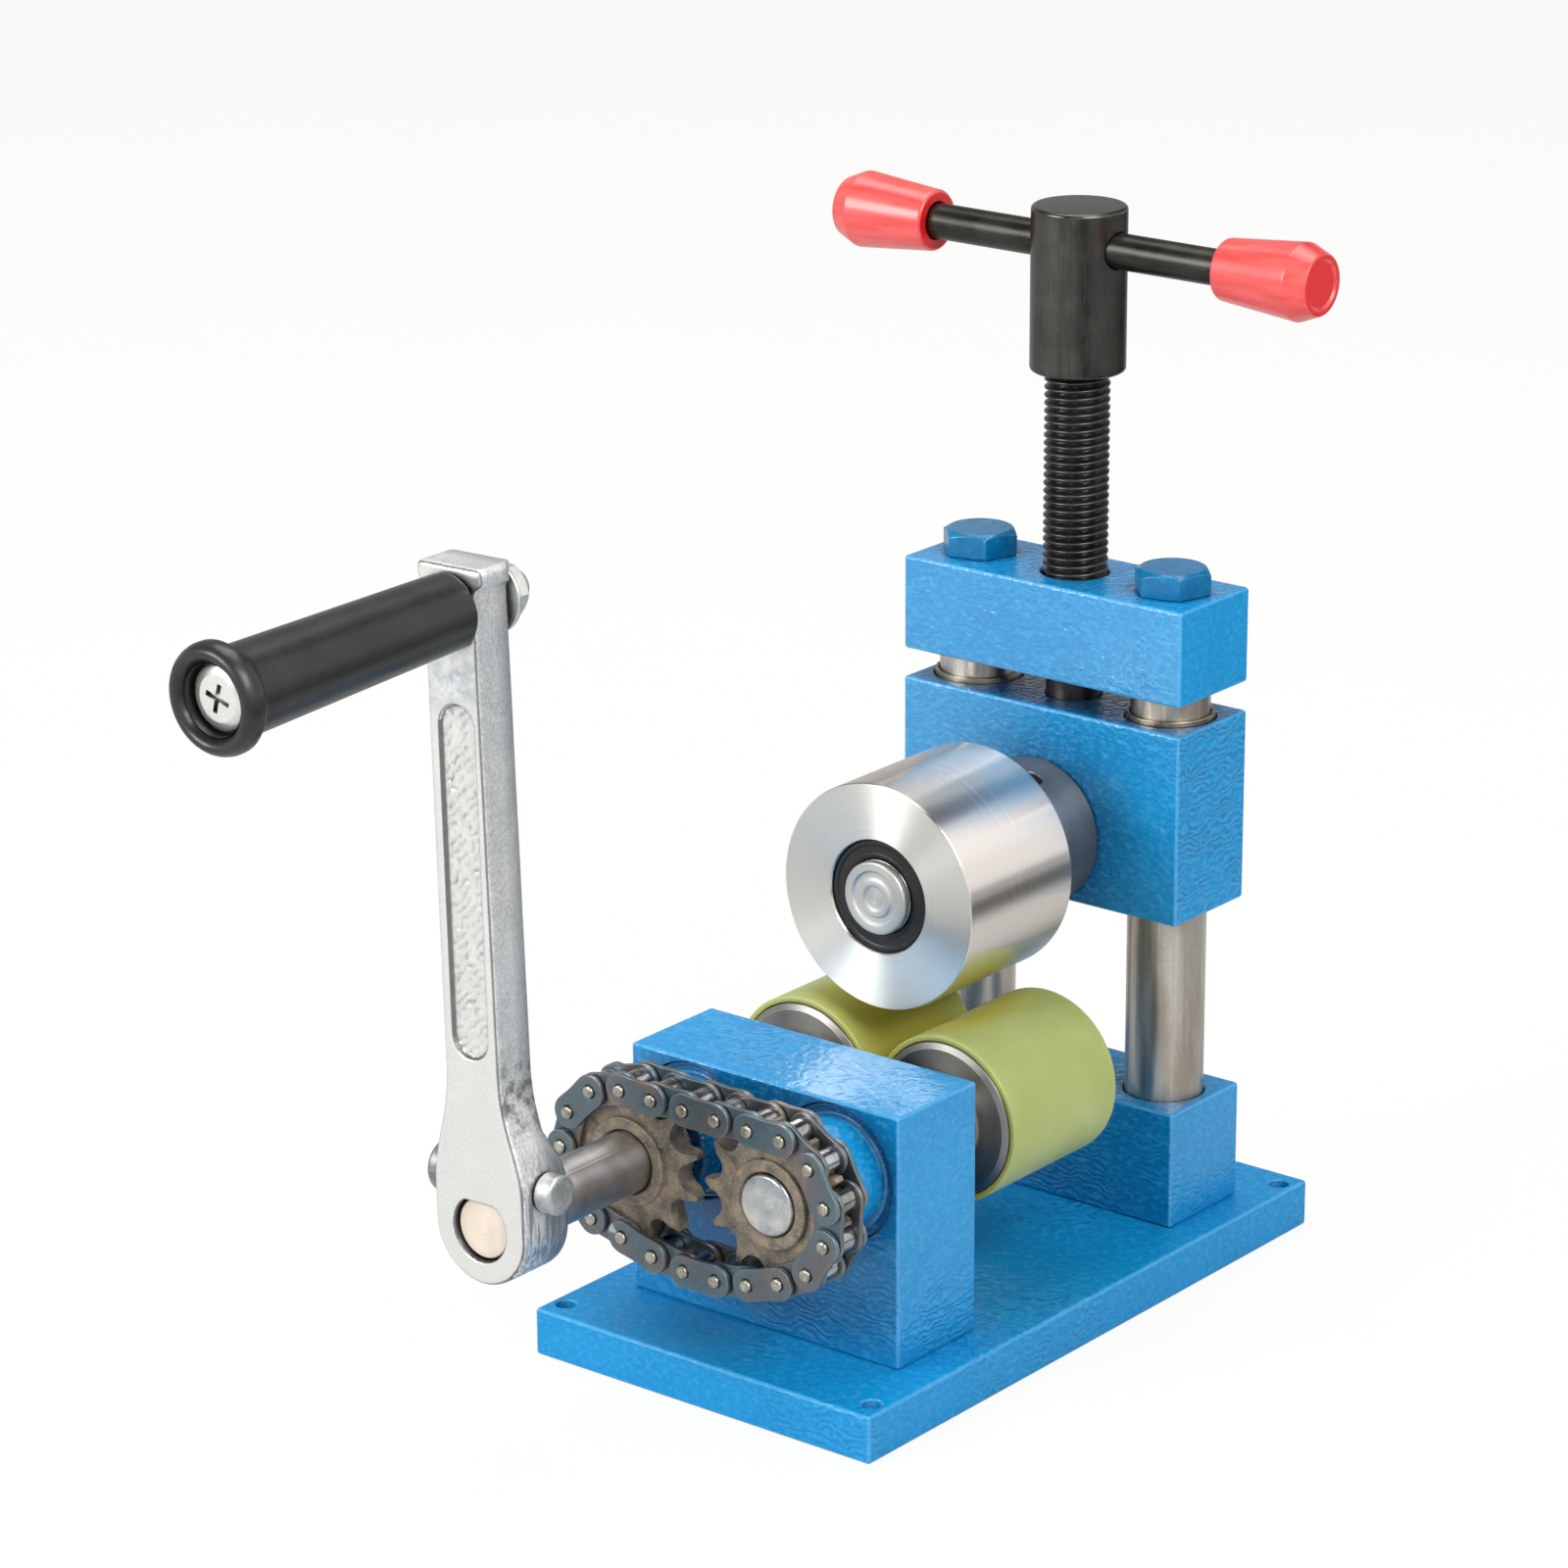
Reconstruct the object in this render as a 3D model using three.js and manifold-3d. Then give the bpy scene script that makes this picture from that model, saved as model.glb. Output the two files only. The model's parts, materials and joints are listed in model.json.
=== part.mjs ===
// A hand cranked three-roll bending mill for a jeweller's bench. Two polyurethane coated lower
// rollers are driven by a crank and a roller chain. A steel pressure roller above them hangs
// from a slide block, which a T-handle screw feeds down two round columns.
// Units are millimetres, +Z is up, and the origin is the centre of the base plate's underside.
// The crank is at the front, at -Y, and the columns stand at the back.

import * as THREE from 'three';
import { mergeVertices } from 'three/addons/utils/BufferGeometryUtils.js';
import Module from 'manifold-3d';

const wasm = await Module();
wasm.setup();

// Clearances
const GAP = 0.3;                    // between a piece and the bore, seat or neighbour it fits
const ROLLER_NIP = 0.8;             // between the two lower rollers
const PAST = 1;                     // how far a cutting tool reaches past the piece it cuts
const SPLIT = 0.01;                 // how far each half of a split plate stops short of its middle

// Base plate
const BASE_WIDTH = 101;
const BASE_LENGTH = 180;
const BASE_THICKNESS = 12;
const BASE_EDGE = 0.8;
const BASE_HOLE_SIDE_INSET = 4.3;
const BASE_HOLE_END_INSET = 6.5;
const BASE_HOLE_RADIUS = 2.5;

// Chain and sprockets
const CHAIN_PITCH = 9.525;
const CHAIN_LINKS = 21;
const CHAIN_SLACK = 0.92;
const CHAIN_INNER_WIDTH = 5.72;
const CHAIN_PLATE_THICKNESS = 1.3;
const CHAIN_PLATE_HEIGHT = 8.2;
const CHAIN_ROLLER_RADIUS = 3.175;
const CHAIN_PIN_RADIUS = 1.64;
const CHAIN_PIN_OVERHANG = 0.75;
const SPROCKET_TEETH = 12;
const SPROCKET_THICKNESS = 5.1;
const SPROCKET_TIP_ADDENDUM = 2;
const SPROCKET_TIP_HALF_WIDTH = 0.55;
const SPROCKET_SEAT_SWEEP = THREE.MathUtils.degToRad(130);
const SPROCKET_HUB_RADIUS = 11;
const SPROCKET_HUB_FRONT = 1.3;
const CHAIN_STAND_OFF = 21;         // chain centre line in front of the front block

// Lower shafts, their rollers and the front block that carries them
const SHAFT_RADIUS = 7.5;
const SHAFT_RISE = 45;              // of the shafts above the base plate's top
const DRIVEN_SHAFT_OVERHANG = 4.5;  // of the driven shaft's end past the chain centre line
const FRONT_BLOCK_WIDTH = 80;
const FRONT_BLOCK_DEPTH = 30;
const FRONT_BLOCK_TOP_WALL = 1;     // over the bearing covers
const FRONT_BLOCK_INSET = 24.5;     // from the front edge of the base
const LOWER_ROLLER_LENGTH = 43;
const LOWER_ROLLER_STAND_OFF = 11.5;
const TYRE_THICKNESS = 1.7;
const TYRE_EDGE = 1;
const CORE_EDGE = 0.8;
const CORE_HUB_RADIUS = 10.5;

// Ball bearings of the lower shafts
const BEARING_OUTER_RADIUS = 16;
const BEARING_WIDTH = 9;
const BEARING_RING_WALL = 2.1;
const BEARING_SHIELD = 0.7;
const COVER_RADIUS = 17;
const COVER_DEPTH = 3.2;
const COVER_BOSS_RADIUS = 14;
const COVER_BOSS_LENGTH = 12.5;

// Columns, foot block, slide block and crosshead
const COLUMN_RADIUS = 9.75;
const COLUMN_SIDE_WALL = 2.85;      // between a column and the sides of its blocks
const COLUMN_STAND_OFF = 92.6;      // of the columns' axes behind the front block
const BLOCK_WIDTH = 83;
const BLOCK_DEPTH = 29;
const BLOCK_EDGE = 0.7;
const FOOT_BLOCK_HEIGHT = 30;
const SLIDE_HEIGHT = 48.3;
const CROSSHEAD_GAP = 7.2;
const CROSSHEAD_HEIGHT = 23.9;
const COLUMN_SEAT_DEPTH = 5;
const BUSH_WALL = 0.9;
const BUSH_PROUD = 1.3;

// Pressure roller and its axle
const PRESSURE_RADIUS = 28;
const PRESSURE_LENGTH = 40;
const ROLLER_OPENING = 6.3;         // from the pressure roller to each lower roller
const AXLE_RISE = 17;               // of the axle above the slide block's underside
const PRESSURE_EDGE = 0.8;
const AXLE_RADIUS = 7.5;
const AXLE_SEAT_DEPTH = 22;
const AXLE_HEAD_RADIUS = 9;
const AXLE_HEAD_THICKNESS = 1.8;
const AXLE_HEAD_EDGE = 0.6;
const SMALL_BEARING_RADIUS = 14;
const SMALL_BEARING_WIDTH = 7;
const SMALL_BEARING_RECESS = 0.8;
const SMALL_BEARING_OUTER_WALL = 0.9;
const SMALL_BEARING_INNER_WALL = 1.3;
const SEAL_THICKNESS = 0.7;
const COLLAR_RADIUS = 18.4;
const COLLAR_LENGTH = 23;
const COLLAR_NOSE = 1;
const GRUB_RADIUS = 2.5;
const GRUB_LENGTH = 8;
const GRUB_SOCKET_RADIUS = 1.4;
const GRUB_TURN = THREE.MathUtils.degToRad(20);   // from the top of the collar to the right

// Feed screw and T-handle
const SCREW_RADIUS = 8;
const SCREW_NECK_RADIUS = 6.9;
const SCREW_NECK_LENGTH = 20;
const SCREW_NECK_TAPER = 1.2;
const SCREW_GROOVE_DEPTH = 1.4;
const RETAINING_PIN_RADIUS = 1.5;
const RETAINING_PIN_REACH = 8;      // of the pin's tip in front of the screw's axis
const HANDLE_RISE = 50.5;           // from the crosshead's top to the handle hub's underside
const HANDLE_HUB_RADIUS = 11.7;
const HANDLE_HUB_HEIGHT = 40.5;
const HANDLE_HUB_EDGE = 0.8;
const HANDLE_HUB_SOCKET = 20;
const T_BAR_RADIUS = 4.4;
const T_BAR_DROP = 9.7;             // below the hub's top
const T_BAR_HALF_LENGTH = 62;
const KNOB_LENGTH = 27;
const KNOB_REACH = 69.5;
const KNOB_EDGE = 0.8;
const KNOB_INNER_RADIUS = 7.5;
const KNOB_OUTER_RADIUS = 9.5;
const KNOB_BEVEL = 2.3;
const KNOB_BEVEL_LENGTH = 5.2;

// Crank and its grip
const CRANK_LENGTH = 146;
const CRANK_TILT = THREE.MathUtils.degToRad(-1.5);
const CRANK_FRONT = 55;             // the arm's front face in front of the chain centre line
const CRANK_HUB_RADIUS = 13.4;
const CRANK_HUB_THICKNESS = 16;
const CRANK_ARM_THICKNESS = 11.8;
const CRANK_EDGE = 1.2;
const CRANK_SIDE_RISE = 9;          // of the hub's straight sides above the shaft's axis
const CRANK_NECK_START = 38;
const CRANK_CURVE_LOW = 0.5;        // the curve's handles, as shares of the neck's start
const CRANK_CURVE_HIGH = 0.66;
const CRANK_NECK_WIDTH = 16.2;
const CRANK_NECK_SHIFT = 0.4;       // of the neck's middle to the left, at its start and its end
const CRANK_NECK_TOP_WIDTH = 15;
const CRANK_NECK_TOP_SHIFT = 1.2;
const CRANK_TOP_WIDTH = 19.4;
const CRANK_TOP_SHIFT = 0.6;
const CRANK_TOP_REACH = 9.8;
const CRANK_TOP_CORNER = 1.4;
const CRANK_TOP_LIP = 3.6;          // below the arm's top end, where its upright sides start
const CRANK_TOP_FLARE = 5.6;        // and where the neck starts to widen into them
const CRANK_SLOT_WIDTH = 10.4;
const CRANK_SLOT_SHIFT = 0.3;
const CRANK_SLOT_START = 41;
const CRANK_SLOT_END = 124;
const CRANK_SLOT_DEPTH = 1.2;
const CRANK_SHOULDER_RISE = 11.8;   // above the shaft's axis, at the hub's back
const CRANK_SHOULDER_TOP = 22;      // and at the arm's back
const SHAFT_END_RECESS = 1.5;
const SHAFT_FLAT = 6.2;
const COTTER_RADIUS = 3.3;
const COTTER_EDGE = 0.8;
const COTTER_HEAD_RADIUS = 4.7;
const COTTER_HEAD = 4.6;
const COTTER_REACH = 2;             // of the pin into its nut
const COTTER_NUT = 5;
const COTTER_NUT_RADIUS = 6.2;
const COTTER_NUT_SIDE = 2.6;        // the nut's straight side, below its dome
const HANDLE_BOLT_RADIUS = 4;
const HANDLE_BOLT_HEAD_RADIUS = 7.5;
const HANDLE_BOLT_HEAD = 2;
const HANDLE_BOLT_TAIL = 3;
const HANDLE_BOLT_EDGE = 1;
const HANDLE_NUT_THICKNESS = 6.4;
const HANDLE_NUT_RADIUS = 7;
const HANDLE_NUT_FLANGE = 2.4;
const HANDLE_NUT_FLANGE_RADIUS = 8.7;
const HANDLE_NUT_FLANGE_EDGE = 1;
const GRIP_LENGTH = 76;
const GRIP_DROOP = THREE.MathUtils.degToRad(1.6);
const GRIP_EDGE = 1;
const GRIP_INNER_RADIUS = 8.8;
const GRIP_OUTER_RADIUS = 10.1;
const GRIP_FLANGE_RADIUS = 12.7;
const GRIP_FLANGE_LENGTH = 8;
const GRIP_MOUTH_DEPTH = 3;

// Fasteners
const BOLT_RADIUS = 5;
const BOLT_HEAD_RADIUS = 9.8;
const BOLT_HEAD_HEIGHT = 6.2;
const BOLT_HEAD_CHAMFER = 1.6;
const BOLT_HEAD_TURN = THREE.MathUtils.degToRad(15);
const BOLT_LENGTH = 36;
const CAP_SCREW_RADIUS = 3;
const CAP_SCREW_HEAD_RADIUS = 5;
const CAP_SCREW_HEAD_HEIGHT = 5;
const CAP_SCREW_LENGTH = 24;
const CAP_SCREW_SOCKET_RADIUS = 2.8;
const END_BOLT_RADIUS = 3;
const END_BOLT_HEAD_RADIUS = 5.6;
const END_BOLT_HEAD_HEIGHT = 4;
const END_BOLT_LENGTH = 16;
const END_WASHER_RADIUS = 10;
const END_WASHER_THICKNESS = 1.6;

// Facets round a large, a middling and a small turned piece
const ROUND_LARGE = 32;
const ROUND = 20;
const ROUND_SMALL = 12;
const ROUND_TINY = 6;

// Places worked out from the sizes above
const SPROCKET_PITCH_RADIUS = CHAIN_PITCH / (2 * Math.sin(Math.PI / SPROCKET_TEETH));
const SHAFT_SPACING = (CHAIN_PITCH * (CHAIN_LINKS - SPROCKET_TEETH) - CHAIN_SLACK) / 2;
const SHAFT_HEIGHT = BASE_THICKNESS + SHAFT_RISE;
const FRONT_BLOCK_FRONT = -BASE_LENGTH / 2 + FRONT_BLOCK_INSET;
const FRONT_BLOCK_BACK = FRONT_BLOCK_FRONT + FRONT_BLOCK_DEPTH;
const FRONT_BLOCK_TOP = SHAFT_HEIGHT + COVER_RADIUS + FRONT_BLOCK_TOP_WALL;
const CHAIN_Y = FRONT_BLOCK_FRONT - CHAIN_STAND_OFF;
const CRANK_FRONT_Y = CHAIN_Y - CRANK_FRONT;
const LOWER_ROLLER_FRONT = FRONT_BLOCK_BACK + LOWER_ROLLER_STAND_OFF;
const LOWER_ROLLER_BACK = LOWER_ROLLER_FRONT + LOWER_ROLLER_LENGTH;
const TYRE_RADIUS = (SHAFT_SPACING - ROLLER_NIP) / 2;
const CORE_RADIUS = TYRE_RADIUS - TYRE_THICKNESS;
const COLUMN_SPACING = BLOCK_WIDTH - 2 * (COLUMN_SIDE_WALL + COLUMN_RADIUS);
const COLUMN_Y = FRONT_BLOCK_BACK + COLUMN_STAND_OFF;
const BLOCK_FRONT = COLUMN_Y - BLOCK_DEPTH / 2;
const BLOCK_BACK = COLUMN_Y + BLOCK_DEPTH / 2;
const ROLLER_CENTRES = PRESSURE_RADIUS + ROLLER_OPENING + TYRE_RADIUS;
const PRESSURE_HEIGHT = SHAFT_HEIGHT + Math.sqrt(ROLLER_CENTRES ** 2 - (SHAFT_SPACING / 2) ** 2);
const SLIDE_BOTTOM = PRESSURE_HEIGHT - AXLE_RISE;
const SLIDE_TOP = SLIDE_BOTTOM + SLIDE_HEIGHT;
const CROSSHEAD_BOTTOM = SLIDE_TOP + CROSSHEAD_GAP;
const CROSSHEAD_TOP = CROSSHEAD_BOTTOM + CROSSHEAD_HEIGHT;
const FOOT_BLOCK_TOP = BASE_THICKNESS + FOOT_BLOCK_HEIGHT;
const COLUMN_TOP = CROSSHEAD_BOTTOM + COLUMN_SEAT_DEPTH - GAP;
const PRESSURE_BACK = BLOCK_FRONT - COLLAR_LENGTH - COLLAR_NOSE - GAP;
const PRESSURE_FRONT = PRESSURE_BACK - PRESSURE_LENGTH;
const HANDLE_BOTTOM = CROSSHEAD_TOP + HANDLE_RISE;
const HANDLE_TOP = HANDLE_BOTTOM + HANDLE_HUB_HEIGHT;
const T_BAR_Z = HANDLE_TOP - T_BAR_DROP;
const COTTER_Z = SHAFT_FLAT + GAP + COTTER_RADIUS;
const COTTER_Y = CRANK_FRONT_Y + CRANK_HUB_THICKNESS / 2;
const COUNTERBORE_DEPTH = CAP_SCREW_HEAD_HEIGHT + GAP;

// Solids: every boolean goes through these few helpers

function toSolid(geometry) {
  const bare = new THREE.BufferGeometry();
  bare.setAttribute('position', geometry.getAttribute('position').clone());
  if (geometry.index) bare.setIndex(geometry.index.clone());
  const merged = mergeVertices(bare, 1e-5);
  const corners = merged.index.array;
  const kept = [];
  for (let i = 0; i < corners.length; i += 3) {
    const [a, b, c] = [corners[i], corners[i + 1], corners[i + 2]];
    if (a !== b && b !== c && c !== a) kept.push(a, b, c);
  }
  if (signedVolume(merged.attributes.position, kept) < 0) kept.reverse();
  return new wasm.Manifold(new wasm.Mesh({
    numProp: 3,
    vertProperties: new Float32Array(merged.attributes.position.array),
    triVerts: new Uint32Array(kept),
  }));
}

function signedVolume(position, corners) {
  const a = new THREE.Vector3();
  const b = new THREE.Vector3();
  const c = new THREE.Vector3();
  let six = 0;
  for (let i = 0; i < corners.length; i += 3) {
    a.fromBufferAttribute(position, corners[i]);
    b.fromBufferAttribute(position, corners[i + 1]);
    c.fromBufferAttribute(position, corners[i + 2]);
    six += a.dot(b.cross(c));
  }
  return six / 6;
}

function toGeometry(solid) {
  const mesh = solid.getMesh();
  const geometry = new THREE.BufferGeometry();
  geometry.setAttribute('position', new THREE.BufferAttribute(mesh.vertProperties, 3));
  geometry.setIndex(new THREE.BufferAttribute(mesh.triVerts, 1));
  geometry.computeVertexNormals();
  return geometry;
}

function cut(geometry, ...tools) {
  let solid = toSolid(geometry);
  for (const tool of tools) solid = solid.subtract(toSolid(tool));
  return toGeometry(solid);
}

function join(geometry, ...others) {
  let solid = toSolid(geometry);
  for (const other of others) solid = solid.add(toSolid(other));
  return toGeometry(solid);
}

// Shapes

// A turned piece about the Y axis; the profile is a list of [radius, y] corners.
function turnedY(profile, facets = ROUND) {
  const points = profile.map(([radius, y]) => new THREE.Vector2(radius, y));
  const onAxis = profile[0][0] === 0 && profile[profile.length - 1][0] === 0;
  if (!onAxis) points.push(points[0].clone());
  return new THREE.LatheGeometry(points, facets);
}

function turnedZ(profile, facets = ROUND) {
  return turnedY(profile, facets).rotateX(Math.PI / 2);
}

function turnedX(profile, facets = ROUND) {
  return turnedY(profile, facets).rotateZ(-Math.PI / 2);
}

function rod(radius, start, end) {
  return [[0, start], [radius, start], [radius, end], [0, end]];
}

function tube(inner, outer, start, end) {
  return [[inner, start], [outer, start], [outer, end], [inner, end]];
}

function chamferedRod(radius, start, end, edge) {
  return [
    [0, start], [radius - edge, start], [radius, start + edge],
    [radius, end - edge], [radius - edge, end], [0, end],
  ];
}

function hexagon(radius, turn = 0) {
  const shape = new THREE.Shape();
  for (let i = 0; i < 6; i += 1) {
    const angle = turn + (i * Math.PI) / 3;
    shape[i ? 'lineTo' : 'moveTo'](radius * Math.cos(angle), radius * Math.sin(angle));
  }
  shape.closePath();
  return shape;
}

function prism(shape, depth) {
  return new THREE.ExtrudeGeometry(shape, { depth, bevelEnabled: false, curveSegments: 6 });
}

// A block from its corner coordinates, with every edge eased
function block(x0, x1, y0, y1, z0, z1, edge) {
  const shape = new THREE.Shape();
  shape.moveTo(x0 + 2 * edge, y0 + edge);
  shape.lineTo(x1 - 2 * edge, y0 + edge);
  shape.lineTo(x1 - edge, y0 + 2 * edge);
  shape.lineTo(x1 - edge, y1 - 2 * edge);
  shape.lineTo(x1 - 2 * edge, y1 - edge);
  shape.lineTo(x0 + 2 * edge, y1 - edge);
  shape.lineTo(x0 + edge, y1 - 2 * edge);
  shape.lineTo(x0 + edge, y0 + 2 * edge);
  shape.closePath();
  return new THREE.ExtrudeGeometry(shape, {
    depth: z1 - z0 - 2 * edge,
    bevelThickness: edge,
    bevelSize: edge,
    bevelSegments: 1,
  }).translate(0, 0, z0 + edge);
}

function columnPlaces() {
  return [-COLUMN_SPACING / 2, COLUMN_SPACING / 2];
}

// Materials

const finish = {
  bluePaint: { color: 0x1583cf, roughness: 0.3, metalness: 0 },
  steel: { color: 0xb9b9b6, roughness: 0.3, metalness: 1 },
  brightSteel: { color: 0xd4d5d6, roughness: 0.18, metalness: 1 },
  greySteel: { color: 0x74808c, roughness: 0.4, metalness: 1 },
  rustySteel: { color: 0x8d7058, roughness: 0.7, metalness: 0.6 },
  chainSteel: { color: 0x4e6272, roughness: 0.45, metalness: 0.9 },
  blackSteel: { color: 0x2b2c2d, roughness: 0.45, metalness: 0.6 },
  blackRubber: { color: 0x161616, roughness: 0.6, metalness: 0 },
  blackPlastic: { color: 0x1b1c1d, roughness: 0.4, metalness: 0 },
  redPlastic: { color: 0xe03a3c, roughness: 0.2, metalness: 0 },
  polyurethane: { color: 0xb9c46a, roughness: 0.3, metalness: 0 },
  zinc: { color: 0xd9dad7, roughness: 0.25, metalness: 1 },
  bronze: { color: 0xa98a5a, roughness: 0.4, metalness: 1 },
};

function piece(name, geometry, look) {
  const mesh = new THREE.Mesh(geometry, new THREE.MeshStandardMaterial(finish[look]));
  mesh.name = name;
  return mesh;
}

// Frame

function capScrew(x, y) {
  const top = COUNTERBORE_DEPTH + CAP_SCREW_LENGTH;
  const body = turnedZ([
    [0, GAP], [CAP_SCREW_HEAD_RADIUS, GAP], [CAP_SCREW_HEAD_RADIUS, COUNTERBORE_DEPTH],
    [CAP_SCREW_RADIUS, COUNTERBORE_DEPTH], [CAP_SCREW_RADIUS, top], [0, top],
  ], ROUND_SMALL);
  const socket = prism(hexagon(CAP_SCREW_SOCKET_RADIUS), CAP_SCREW_HEAD_HEIGHT / 2);
  return cut(body, socket).translate(x, y, 0);
}

// The hole for a cap screw that comes up through the base plate
function capScrewHole(x, y) {
  const top = COUNTERBORE_DEPTH + CAP_SCREW_LENGTH + GAP;
  const head = CAP_SCREW_HEAD_RADIUS + GAP;
  const shank = CAP_SCREW_RADIUS + GAP;
  return turnedZ([
    [0, -PAST], [head, -PAST], [head, COUNTERBORE_DEPTH],
    [shank, COUNTERBORE_DEPTH], [shank, top], [0, top],
  ], ROUND_SMALL).translate(x, y, 0);
}

function frontScrewPlaces() {
  const y = (FRONT_BLOCK_FRONT + FRONT_BLOCK_BACK) / 2;
  return [-1, 1].map((side) => [(side * FRONT_BLOCK_WIDTH) / 3, y]);
}

function columnScrewPlaces() {
  return columnPlaces().map((x) => [x, COLUMN_Y]);
}

function makeBasePlate() {
  const plate = block(
    -BASE_WIDTH / 2, BASE_WIDTH / 2, -BASE_LENGTH / 2, BASE_LENGTH / 2, 0, BASE_THICKNESS, BASE_EDGE,
  );
  const holes = [];
  for (const sx of [-1, 1]) {
    for (const sy of [-1, 1]) {
      const x = sx * (BASE_WIDTH / 2 - BASE_HOLE_SIDE_INSET);
      const y = sy * (BASE_LENGTH / 2 - BASE_HOLE_END_INSET);
      const hole = turnedZ(rod(BASE_HOLE_RADIUS, -PAST, BASE_THICKNESS + PAST), ROUND_SMALL);
      holes.push(hole.translate(x, y, 0));
    }
  }
  const screws = [...frontScrewPlaces(), ...columnScrewPlaces()];
  for (const [x, y] of screws) holes.push(capScrewHole(x, y));
  return cut(plate, ...holes);
}

function makeFrontBlock() {
  const body = block(
    -FRONT_BLOCK_WIDTH / 2, FRONT_BLOCK_WIDTH / 2, FRONT_BLOCK_FRONT, FRONT_BLOCK_BACK,
    BASE_THICKNESS, FRONT_BLOCK_TOP, BLOCK_EDGE,
  );
  const seatFront = FRONT_BLOCK_FRONT + COVER_DEPTH;
  const seatBack = FRONT_BLOCK_BACK - BEARING_WIDTH - GAP;
  const web = BEARING_OUTER_RADIUS - BEARING_RING_WALL;
  const bore = [
    [0, FRONT_BLOCK_FRONT - PAST], [COVER_RADIUS, FRONT_BLOCK_FRONT - PAST],
    [COVER_RADIUS, seatFront],
    [BEARING_OUTER_RADIUS, seatFront], [BEARING_OUTER_RADIUS, seatFront + BEARING_WIDTH + GAP],
    [web, seatFront + BEARING_WIDTH + GAP], [web, seatBack], [BEARING_OUTER_RADIUS, seatBack],
    [BEARING_OUTER_RADIUS, FRONT_BLOCK_BACK + PAST], [0, FRONT_BLOCK_BACK + PAST],
  ];
  const bores = [-1, 1].map(
    (side) => turnedY(bore, ROUND_LARGE).translate((side * SHAFT_SPACING) / 2, 0, SHAFT_HEIGHT),
  );
  const screws = frontScrewPlaces().map(([x, y]) => capScrewHole(x, y));
  return cut(body, ...bores, ...screws);
}

function makeBearingCover() {
  const front = FRONT_BLOCK_FRONT - COVER_BOSS_LENGTH;
  const bore = SHAFT_RADIUS + 2 * GAP;
  return turnedY([
    [bore, front], [COVER_BOSS_RADIUS - BLOCK_EDGE, front],
    [COVER_BOSS_RADIUS, front + BLOCK_EDGE],
    [COVER_BOSS_RADIUS, FRONT_BLOCK_FRONT], [COVER_RADIUS - GAP, FRONT_BLOCK_FRONT],
    [COVER_RADIUS - GAP, FRONT_BLOCK_FRONT + COVER_DEPTH - GAP],
    [bore, FRONT_BLOCK_FRONT + COVER_DEPTH - GAP],
  ], ROUND_LARGE);
}

// A shielded ball bearing is an outer ring, with its shields, and an inner ring. Each maker
// gives one of them round the Y axis, centred on the origin.
function makeOuterRing(outer, wall, inner, width) {
  const lip = inner + GAP;
  const race = outer - wall;
  const half = width / 2;
  return turnedY([
    [lip, -half], [outer - GAP, -half], [outer - GAP, half], [lip, half],
    [lip, half - BEARING_SHIELD], [race, half - BEARING_SHIELD],
    [race, BEARING_SHIELD - half], [lip, BEARING_SHIELD - half],
  ]);
}

function makeInnerRing(shaft, wall, width) {
  return turnedY(tube(shaft + GAP, shaft + GAP + wall, -width / 2, width / 2));
}

function makeFootBlock() {
  const body = block(
    -BLOCK_WIDTH / 2, BLOCK_WIDTH / 2, BLOCK_FRONT, BLOCK_BACK,
    BASE_THICKNESS, FOOT_BLOCK_TOP, BLOCK_EDGE,
  );
  const bores = columnPlaces().map((x) => turnedZ(
    rod(COLUMN_RADIUS + GAP, BASE_THICKNESS - PAST, FOOT_BLOCK_TOP + PAST), ROUND_LARGE,
  ).translate(x, COLUMN_Y, 0));
  return cut(body, ...bores);
}

function makeColumn(x) {
  const body = turnedZ(
    chamferedRod(COLUMN_RADIUS, BASE_THICKNESS, COLUMN_TOP, BLOCK_EDGE), ROUND_LARGE,
  ).translate(x, COLUMN_Y, 0);
  const tapped = turnedZ(
    rod(BOLT_RADIUS + GAP, CROSSHEAD_TOP - BOLT_LENGTH - GAP, COLUMN_TOP + PAST), ROUND_SMALL,
  ).translate(x, COLUMN_Y, 0);
  return cut(body, tapped, capScrewHole(x, COLUMN_Y));
}

function makeCrosshead() {
  const body = block(
    -BLOCK_WIDTH / 2, BLOCK_WIDTH / 2, BLOCK_FRONT, BLOCK_BACK,
    CROSSHEAD_BOTTOM, CROSSHEAD_TOP, BLOCK_EDGE,
  );
  const seat = CROSSHEAD_BOTTOM + COLUMN_SEAT_DEPTH;
  const holes = columnPlaces().map((x) => turnedZ([
    [0, CROSSHEAD_BOTTOM - PAST], [COLUMN_RADIUS + GAP, CROSSHEAD_BOTTOM - PAST],
    [COLUMN_RADIUS + GAP, seat], [BOLT_RADIUS + GAP, seat],
    [BOLT_RADIUS + GAP, CROSSHEAD_TOP + PAST], [0, CROSSHEAD_TOP + PAST],
  ], ROUND_LARGE).translate(x, COLUMN_Y, 0));
  const thread = turnedZ(
    rod(SCREW_RADIUS + GAP, CROSSHEAD_BOTTOM - PAST, CROSSHEAD_TOP + PAST), ROUND_LARGE,
  ).translate(0, COLUMN_Y, 0);
  return cut(body, ...holes, thread);
}

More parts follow.
